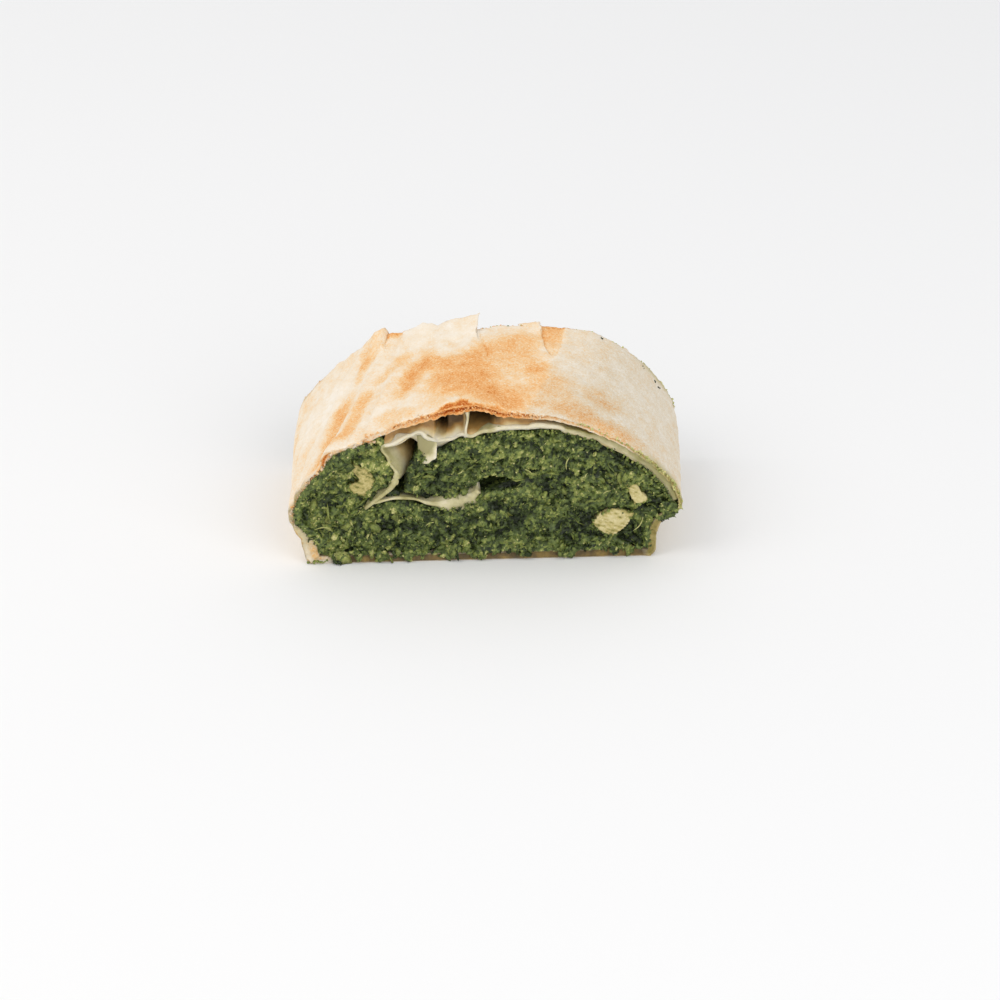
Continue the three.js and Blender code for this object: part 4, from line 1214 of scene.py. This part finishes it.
# Small angular bits and scraps of leaf that lie on the crumbs
def strewBits(points, faces, shade, side, dice):
    corners = points[np.array([face[:3] for face in faces])]
    facing = facets(corners)[0]
    shown = np.flatnonzero((facing[:, 1] < -0.1) & (corners[:, 0, 1] < 3.5 - halfDepth))
    pick = dice.choice(shown, leafBits["count"])
    spots = corners[pick].mean(axis=1) + leafBits["proud"] * facing[pick]
    sizes = np.column_stack([dice.uniform(*leafBits[name], len(pick)) for name in ("long", "wide", "thin")])
    kind = dice.random(len(pick))
    tint = shade[[faces[k][0] for k in pick]] + dice.normal(0, 0.08, len(pick))
    tint += np.select([kind < 0.06, kind < 0.26, kind < 0.5], [0.4, 0.16, -0.14], 0)
    bitMesh = crumbCloud(spots, sizes, dice, bit)
    bitMesh[0][:, 1] *= side
    bitClouds.append((bitMesh, np.repeat(np.clip(tint, 0.02, 0.95), len(bit[0]))))

    # scraps keep clear of the crust and of the flap
    atCut = shown[corners[shown, 0, 1] < 1.6 - halfDepth]
    x, y, z = corners[atCut, 0].T
    inRoll = (z < risen(x, side * y, domeHeight(x, 3.6))) & (np.abs(x) < 50)
    atCut = atCut[inRoll & ~((x > -32) & (x < -20) & (z > 17))]
    pick = dice.choice(atCut, scraps["count"])
    spots = corners[pick].mean(axis=1) + scraps["proud"] * facing[pick]
    sizes = np.column_stack([dice.uniform(*scraps[name], len(pick)) for name in ("long", "wide", "bend")])
    tint = np.where(dice.random(len(pick)) < scraps["darkShare"], scraps["dark"], scraps["light"])
    tint = tint + scraps["leftLighter"] * smooth(-spots[:, 0], 5, 30) + dice.normal(0, 0.08, len(pick))
    share = 0.15 + smooth(-spots[:, 0], 18, 30)
    broad = dice.choice(len(pick), scraps["broad"], replace=False, p=share / share.sum())
    sizes[broad] *= np.array(scraps["broader"])
    tint[broad] = dice.uniform(*scraps["broadTint"], len(broad))
    scrapMesh = crumbCloud(spots, sizes, dice, scrap)
    middle = np.repeat(spots[:, 1], len(scrap[0]))
    scrapMesh[0][:, 1] = side * (middle + 0.5 * (scrapMesh[0][:, 1] - middle))
    scrapClouds.append((scrapMesh, np.repeat(np.clip(tint, 0.04, 0.85), len(scrap[0]))))
    for cloud in (scrapMesh, bitMesh):
        cloud[0][:, 2] = np.maximum(cloud[0][:, 2], 0.1)


def makeFilling(name, side, seed):
    dice = np.random.default_rng(seed)
    slab = fillingSlab(side)
    crumbs = [packedCrumbs(slab, side, dice, seed), spiltCrumbs(side, dice, seed)]
    if side > 0:
        crumbs.append(shownBits())
    places, sizes, tint = [np.concatenate(values) for values in zip(*crumbs)]
    clear = clearOfPockets(places, side)
    places, sizes, tint = places[clear], sizes[clear], tint[clear]
    points, faces = fusedMash(slab, crumbCloud(places, sizes, dice, ball), seed)
    near = KDTree(len(places))
    for k, place in enumerate(places):
        near.insert(place, k)
    near.balance()
    shade = np.array([tint[near.find(p)[1]] for p in points])
    # painted shade: crumbs that lie further back from the cut are darker
    shade = shade - mash["sunkShade"] * smooth(points[:, 1] + halfDepth, 0.3, 2.4)
    strewBits(points, faces, shade, side, dice)
    points[:, 1] *= side
    addPiece(name, points, faces, spinach, ["filling"], {"tint": shade})


# The part between the two faces, which shows only deep inside the pockets, tinted dark green as painted shade
def makeCore():
    built = nodeSolid("filling", 1)
    for side in (-1, 1):
        cutAway(built, side * (halfDepth - mash["slab"] + mash["overlap"]), side)
    points, faces = arraysOf(built)
    tint = np.full(len(points), mash["coreShadeTint"])
    addPiece("spinachCore", points, faces, spinach, ["filling"], {"tint": tint})


makeCore()
makeFilling("spinachFront", 1, 101)
makeFilling("spinachBack", -1, 202)

# Tofu: torn chunks set into both cuts, porous, with short strokes across them
tofuChunks = {
    "voxel": 0.32, "swell": 0.12, "pit": 0.28, "lump": 0.24, "lumpSize": 2.6, "fineLumpSize": 1.1,
    "rimTint": 0.3, "pitShade": 0.5, "stuck": 50, "stuckSize": (0.16, 0.5), "stuckTint": (0.34, 0.7),
    "strokeLong": 1.5, "strokeShort": 0.45, "strokeTurn": 24,
    "stain": {"tofu_right": 0.55, "tofu_right_upper": 0.6, "tofu_left": 0.74,
              "tofu_back_left": 0.55, "tofu_back_right": 0.6},
}


def makeTofu(node, seed):
    built = remeshed(*nodeMesh(node, 1), tofuChunks["voxel"])
    normals = np.array([v.normal for v in built.verts])
    points, faces = arraysOf(built)
    turn = math.radians(tofuChunks["strokeTurn"])
    along = points[:, 0] * math.cos(turn) - points[:, 2] * math.sin(turn)
    across = points[:, 0] * math.sin(turn) + points[:, 2] * math.cos(turn)
    strokes = np.column_stack([along / tofuChunks["strokeLong"], points[:, 1] / tofuChunks["strokeLong"],
                               across / tofuChunks["strokeShort"]])
    pits = np.clip(unevenness(strokes, seed), -1, 0.3)
    lumps = unevenness(points / tofuChunks["lumpSize"], seed + 1)
    lumps = lumps + 0.5 * unevenness(points / tofuChunks["fineLumpSize"], seed + 60)
    swell = tofuChunks["swell"] + tofuChunks["pit"] * pits + tofuChunks["lump"] * lumps
    points = points + normals * swell[:, None]
    flat = points[:, [0, 2]]
    middle = (flat.max(axis=0) + flat.min(axis=0)) / 2
    reach = (flat.max(axis=0) - flat.min(axis=0)) / 2
    rim = np.linalg.norm((flat - middle) / reach, axis=1)
    tint = tofuChunks["stain"][node] + tofuChunks["rimTint"] * smooth(rim, 0.75, 1.05)
    # painted shade: the pits are tinted darker
    tint = tint - tofuChunks["pitShade"] * np.minimum(pits, 0)
    # bits of spinach that stuck to its edge
    dice = np.random.default_rng(seed)
    onRim = np.flatnonzero((rim > 0.82) & (np.abs(points[:, 1]) > halfDepth - 1))
    pick = dice.choice(onRim, tofuChunks["stuck"])
    sizes = dice.uniform(*tofuChunks["stuckSize"], (len(pick), 3)) * dice.choice((1, 1, 1.7), (len(pick), 1))
    stuck = crumbCloud(points[pick] + 0.1 * normals[pick], sizes, dice, bit)
    bitClouds.append((stuck, np.repeat(dice.uniform(*tofuChunks["stuckTint"], len(pick)), len(bit[0]))))
    name = "".join(word.capitalize() if k else word for k, word in enumerate(node.split("_")))
    addPiece(name, points, faces, tofu, [node], {"tint": tint})


for k, node in enumerate(tofuChunks["stain"]):
    makeTofu(node, 301 + 2 * k)


def addCloud(name, clouds, faceted=False):
    points, faces = joined([mesh for mesh, tint in clouds])
    marks = {"tint": np.concatenate([tint for mesh, tint in clouds])}
    addPiece(name, points, faces, spinach, [], marks, faceted)


addCloud("spinachBits", bitClouds, faceted=True)
addCloud("spinachScraps", scrapClouds)

# Flakes that stand up at the back edge of the crust. Each is a thin sheet from its root line to the back cut:
# left, right, where it starts and ends along the depth, how high its free edge stands, and its baking
flakes = {
    "thickness": 0.35, "rootThicker": 0.25, "columns": 56, "rows": 20,
    # ragged root and free edge, sides drawn in and ragged, curl, and how it lies on the crust
    "rootRag": 3.5, "edgeRag": 0.4, "edgeCrumb": 0.3, "drawnIn": 0.9, "sideRag": 0.6, "sideCrumb": 0.3,
    "curl": 0.2, "sunk": 0.15, "lying": 0.3,
    "sheets": [
        {"left": -25.6, "right": -1.9, "root": 14, "end": 29.2, "bake": 0.14,
         "lift": [(-25.6, 0), (-20.2, 0), (-19, 0.6), (-18.2, 1.4), (-16, 1.1), (-14, 0.2), (-11, 1.1),
                  (-7.7, 2.1), (-4, 3), (-1.9, 3.7)]},
        {"left": -35.6, "right": -27.9, "root": 16, "end": 29, "bake": 0.3,
         "lift": [(-35.6, 0), (-33.7, 1.3), (-32, 3), (-30.3, 3.4), (-29.1, 2.8), (-28.2, 1), (-27.9, 0)]},
        {"left": 9.4, "right": 16, "root": 19, "end": 29, "bake": 0.26,
         "lift": [(9.4, 0), (12, 0.1), (14.2, 0.5), (15.6, 1), (16, 0.7)]},
    ],
}


def makeFlakes():
    parts, tones, pallor = [], [], []
    along = np.linspace(0, 1, flakes["rows"])[:, None]
    for number, sheet in enumerate(flakes["sheets"]):
        across = np.linspace(sheet["left"], sheet["right"], flakes["columns"])
        lift = np.interp(across, *np.array(sheet["lift"]).T)
        rag = flakes["edgeRag"] * waver(across, 2, 401 + number)
        rag = rag + flakes["edgeCrumb"] * waver(across, 0.7, 411 + number)
        root = sheet["root"] + flakes["rootRag"] * waver(across, 3, 441 + number)
        y = root + (sheet["end"] + rag - root) * along
        # the sides of the sheet are drawn in and ragged
        side = smooth(across, sheet["right"] - 5, sheet["right"])
        side = side - smooth(-across, -sheet["left"] - 3, -sheet["left"])
        flat = across - flakes["drawnIn"] * side * np.sin(np.pi * along)
        flat = flat + flakes["sideRag"] * uneven(across + 0 * along, y, 2.4, 2.5, 451 + number)
        flat = flat + flakes["sideCrumb"] * uneven(across + 0 * along, y, 1.2, 1, 461 + number)
        arc = np.interp(flat, outerLine[topColumns, 0], arcLine[topColumns])
        surface = crustPoint(arc, flat, y, domeHeight(flat, 0))
        x = surface[..., 0]
        taper = smooth(across - sheet["left"], 0, 3)
        curl = flakes["curl"] * uneven(flat, y, 3, 4, 421 + number) * along
        z = surface[..., 2] - flakes["sunk"] + flakes["lying"] * smooth(along, 0, 0.5) * taper
        z = z + lift * along ** 1.7 + curl * taper
        thin = flakes["thickness"] * (1 - 0.6 * along) + flakes["rootThicker"] * (1 - along)
        parts.append(closedSheet(np.stack([x, y, z], axis=-1), np.stack([x, y, z - thin], axis=-1)))
        tone = sheet["bake"] + 0.1 * uneven(x, y, 3, 3, 431 + number)
        tone = (tone + (baking(arc, flat, y, z) - tone) * (1 - smooth(along, 0.25, 0.8))).ravel()
        tones += [tone, tone]
        pallor += [paling(arc, y).ravel()] * 2
    points, faces = joined(parts)
    tones = np.concatenate(tones)
    addPiece("crustFlakes", points, faces, doughBaked, ["crust"],
             {"bake": tones, "pallor": np.concatenate(pallor), "moist": 0 * tones})


makeFlakes()


# Crumbs of one kind on a cut edge of the crust: from and to along the outline, part of the way through
# the wall, how far before the cut, and their size, shape and tone
def edgeCrumbs(kind, edge, side, dice):
    outer, inner = edge
    choices = np.flatnonzero((arcLine > kind["from"]) & (arcLine < kind["to"]) & ~isFloor)
    pick = dice.choice(choices, kind["count"])
    part = dice.uniform(*kind["part"], len(pick))[:, None]
    spots = outer[pick] * (1 - part) + inner[pick] * part
    spots[:, 1] += side * dice.uniform(*kind["before"], len(pick))
    sizes = dice.uniform(*kind["size"], spots.shape) * np.array(kind["shape"])
    return spots, sizes, dice.uniform(*kind["tone"], len(pick))


# Crumbs of crust along the broken lip of both cuts
lipCrumbs = {
    "count": (240, 70), "from": -36, "to": 16, "size": (0.16, 0.5),
    "plateShare": 0.3, "plate": (1.7, 1.2, 0.35), "tone": (0.38, 0.62), "browner": 0.16,
    "others": [
        # paler, moist crumbs down the left side
        {"count": 80, "from": -72, "to": -48, "part": (0.1, 1), "before": (-0.3, 0.3), "size": (0.18, 0.5),
         "shape": (1, 1, 1), "tone": (0.15, 0.6), "moist": (0, 0.5)},
        # pale shreds under the lip on the left
        {"count": 46, "from": -52, "to": -34, "part": (0.5, 1.5), "before": (-0.2, 0.4), "size": (0.2, 0.7),
         "shape": (1.2, 0.8, 0.3), "tone": (0, 0.5), "moist": (0, 0.6)},
    ],
}


def makeLipCrumbs():
    dice = np.random.default_rng(505)
    places, sizes, tones, moist = [], [], [], []
    choices = np.flatnonzero((arcLine > lipCrumbs["from"]) & (arcLine < lipCrumbs["to"]) & ~isFloor)
    for edge, count, side in zip(cutEdges, lipCrumbs["count"], (-1, 1)):
        pick = dice.choice(choices, count)
        part = dice.random(count)[:, None] ** 1.4 * 0.8
        spot = edge[0][pick] * (1 - part) + edge[1][pick] * part
        spot[:, 1] += side * dice.uniform(-0.3, 0.35, count)
        spot[:, 0] += dice.uniform(-0.3, 0.3, count)
        size = dice.uniform(*lipCrumbs["size"], (count, 3)) * dice.uniform(0.6, 1, (count, 1))
        size[dice.random(count) < lipCrumbs["plateShare"]] *= np.array(lipCrumbs["plate"])
        places.append(spot)
        sizes.append(size)
        browner = lipCrumbs["browner"] * smooth(17 - np.abs(arcLine[pick] + 2), 0, 9)
        tones.append(dice.uniform(*lipCrumbs["tone"], count) + browner)
        moist.append(np.zeros(count))
        for kind in lipCrumbs["others"]:
            spot, size, tone = edgeCrumbs(kind, edge, side, dice)
            places.append(spot)
            sizes.append(size)
            tones.append(tone)
            moist.append(dice.uniform(*kind["moist"], len(spot)))
    points, faces = crumbCloud(np.vstack(places), np.vstack(sizes), dice, ball)
    tones, moist = [np.repeat(np.concatenate(values), len(ball[0])) for values in (tones, moist)]
    addPiece("crustCrumbs", points, faces, doughBaked, [],
             {"bake": tones, "pallor": smooth(points[:, 0], 8, 30), "moist": moist})


makeLipCrumbs()

# Crumbs of spinach that stuck to the crust: along the right lip of each cut, at the left foot,
# along the lower edges of the soft layers and in a few spots near the back
strayCrumbs = {
    "lip": {"count": 60, "from": 26, "to": 68, "part": (0, 0.45), "before": (-0.3, 0.3), "size": (0.18, 0.5),
            "shape": (1, 1, 1), "tone": (0.78, 1)},
    # yellow crumbs that line the lip on the right
    "rim": {"count": 80, "from": 45, "to": 69, "part": (0, 0.9), "before": (-0.2, 0.45), "size": (0.15, 0.42),
            "shape": (1, 1, 1), "tone": (0.8, 1)},
    "footCount": 34, "foot": (45, 50.4),
    # soft layer: count, how far below its line, where it starts on the left
    "lines": {"upperEdge": (290, 1.1, -4), "middle": (80, 1.6, -20)}, "lineSteps": 300,
    "backCount": 8, "back": (-2, 12),
    # dark scraps near the back: distance along the outline, place along the depth, size
    "scraps": [(34.9, 26.8, 0.8), (54, 22.9, 0.8), (55.4, 20.8, 0.6), (49.8, 25, 0.4)], "scrapBits": 3,
}


def makeStrayCrumbs():
    dice = np.random.default_rng(606)
    crumbs = []
    for edge, side in zip(cutEdges, (-1, 1)):
        cut = side * halfDepth
        crumbs.append(edgeCrumbs(strayCrumbs["lip"], edge, side, dice))
        count = strayCrumbs["footCount"]
        spot = np.column_stack([-dice.uniform(*strayCrumbs["foot"], count),
                                cut + side * dice.uniform(-0.5, 0.35, count), dice.uniform(0.4, 0.9, count)])
        crumbs.append((spot, dice.uniform(0.25, 0.5, spot.shape), dice.uniform(0.5, 0.9, count)))
        crumbs.append(edgeCrumbs(strayCrumbs["rim"], edge, side, dice))
        for line, (count, drop, least) in strayCrumbs["lines"].items():
            run = splined(layers[line], strayCrumbs["lineSteps"])
            run = run[run[:, 0] > least]
            heading = np.gradient(run, axis=0)
            heading /= np.linalg.norm(heading, axis=1)[:, None]
            below = np.column_stack([heading[:, 1], -heading[:, 0]])
            below = below * -np.sign(below[:, 1:])
            pick = dice.choice(len(run), count)
            flat = run[pick] + below[pick] * (drop * dice.uniform(0.8, 1.75, count))[:, None]
            y = cut - side * dice.uniform(-0.1, 1, count)
            spot = np.column_stack([flat[:, 0], y, risen(flat[:, 0], y, flat[:, 1])])
            crumbs.append((spot, dice.uniform(0.2, 0.55, spot.shape), dice.uniform(0.2, 0.75, count)))
    first, last = strayCrumbs["back"]
    choices = np.flatnonzero((arcLine > first) & (arcLine < last))
    spot = cutEdges[1][0][dice.choice(choices, strayCrumbs["backCount"])]
    spot = spot + dice.uniform(-0.1, 0.1, spot.shape)
    crumbs.append((spot, dice.uniform(0.1, 0.26, spot.shape), dice.uniform(0.5, 0.9, len(spot))))
    for arc, y, size in strayCrumbs["scraps"]:
        count = strayCrumbs["scrapBits"]
        x = np.interp(arc, arcLine[topColumns], outerLine[topColumns, 0])
        spot = crustPoint(np.array([arc]), np.array([x]), np.array([y]), domeHeight(np.array([x]), 0))
        spot = spot + dice.normal(0, 0.35, (count, 3)) * np.array([0.7, 0.7, 0.5])
        crumbs.append((spot, np.tile([0.7 * size, 0.35 * size, 0.16], (count, 1)), np.full(count, 0.05)))
    places, sizes, tint = [np.concatenate(values) for values in zip(*crumbs)]
    points, faces = crumbCloud(places, sizes, dice, ball)
    points[:, 2] = np.maximum(points[:, 2], 0.05)
    addPiece("spinachCrumbs", points, faces, spinach, [], {"tint": np.repeat(tint, len(ball[0]))})


makeStrayCrumbs()

# Thin pale stems that lie in the cut face: two ends across and up, in millimetres
stems = {
    "radius": 0.16, "steps": 9, "around": 6, "bend": 0.12, "tint": 0.86,
    "front": [(43.7, 12.6, 41, 8.2), (22.8, 32, 22.1, 28.3), (27.9, 26.9, 27.2, 25), (-44, 11.4, -48.2, 11),
              (-14.9, 12.5, -17.1, 11.5), (-38, 27, -36.6, 30.5), (10.5, 28.6, 12.4, 27.2),
              (32.5, 20.4, 34.6, 21.2), (-8.4, 27.6, -6.6, 29)],
    "back": [(-30, 12, -27, 14), (8, 30, 9.5, 27), (-12, 24, -14.6, 23), (30, 10, 33, 9), (-38, 22, -36, 19)],
}


def makeStems():
    dice = np.random.default_rng(707)
    steps, around = stems["steps"], stems["around"]
    run = np.linspace(0, 1, steps)
    turn = np.linspace(0, 2 * np.pi, around, endpoint=False)
    thick = stems["radius"] * (1 - 0.6 * np.abs(2 * run - 1) ** 3)[:, None]
    parts = []
    for name, side in (("front", -1), ("back", 1)):
        for x0, z0, x1, z1 in stems[name]:
            length = math.hypot(x1 - x0, z1 - z0)
            heading = math.atan2(z1 - z0, x1 - x0)
            bend = stems["bend"] * length * np.sin(np.pi * run) * dice.choice((-1, 1))
            x = x0 + (x1 - x0) * run + bend * (z1 - z0) / length
            z = z0 + (z1 - z0) * run - bend * (x1 - x0) / length
            y = side * (halfDepth + 0.15 + 0.1 * np.sin(3 * run))
            rings = np.stack([x[:, None] - thick * np.cos(turn) * math.sin(heading),
                              y[:, None] + thick * np.sin(turn),
                              z[:, None] + thick * np.cos(turn) * math.cos(heading)], axis=-1).reshape(-1, 3)
            ends = np.array([[x[0], y[0], z[0]], [x[-1], y[-1], z[-1]]])
            faces = [gridFaces(steps, around, 0, around=True)]
            for loop, tip in ((0, len(rings)), (steps - 1, len(rings) + 1)):
                faces.append(facesOf([loop * around + np.arange(around), np.full(around, tip)], around=True))
            parts.append((np.vstack([rings, ends]), np.vstack(faces)))
    points, faces = joined(parts)
    tint = np.full(len(points), stems["tint"])
    addPiece("spinachStems", points, withoutRepeats(faces), spinach, [], {"tint": tint})


makeStems()

# Light: one large soft box from the upper left, a weaker one from the right and a pale room
light = {
    "key": {"place": (-0.9, -0.25, 1.0), "size": 1.0, "power": 5.4, "colour": "#fffaf4"},
    "fill": {"place": (0.7, -0.9, 0.7), "size": 1.0, "power": 4.6, "colour": "#ffffff"},
    "room": 0.775, "roomColour": "#fbfcff",
}
for name in ("key", "fill"):
    setting = light[name]
    lamp = bpy.data.lights.new(name, "AREA")
    lamp.size = setting["size"]
    lamp.energy = setting["power"]
    lamp.color = linear(setting["colour"])[:3]
    box = bpy.data.objects.new(name, lamp)
    box.location = setting["place"]
    box.rotation_euler = (-Vector(setting["place"])).to_track_quat("-Z", "Y").to_euler()
    scene.collection.objects.link(box)
world = bpy.data.worlds.new("paleRoom")
world.use_nodes = True
background = world.node_tree.nodes["Background"]
background.inputs["Color"].default_value = linear(light["roomColour"])
background.inputs["Strength"].default_value = light["room"]
scene.world = world
scene.view_settings.view_transform = "Standard"

# Floor: a painted board, pale and matt
floorMaterial, floorTree = newMaterial("boardPainted")
floorTree.nodes["Principled BSDF"].inputs["Base Color"].default_value = linear("#f4f4f3")
floorTree.nodes["Principled BSDF"].inputs["Roughness"].default_value = 0.9
floorMesh = bpy.data.meshes.new("floor")
floorMesh.from_pydata([(-4, -4, 0), (4, -4, 0), (4, 4, 0), (-4, 4, 0)], [], [(0, 1, 2, 3)])
floorMesh.materials.append(floorMaterial)
floor = bpy.data.objects.new("floor", floorMesh)
scene.collection.objects.link(floor)
print("light and floor set")
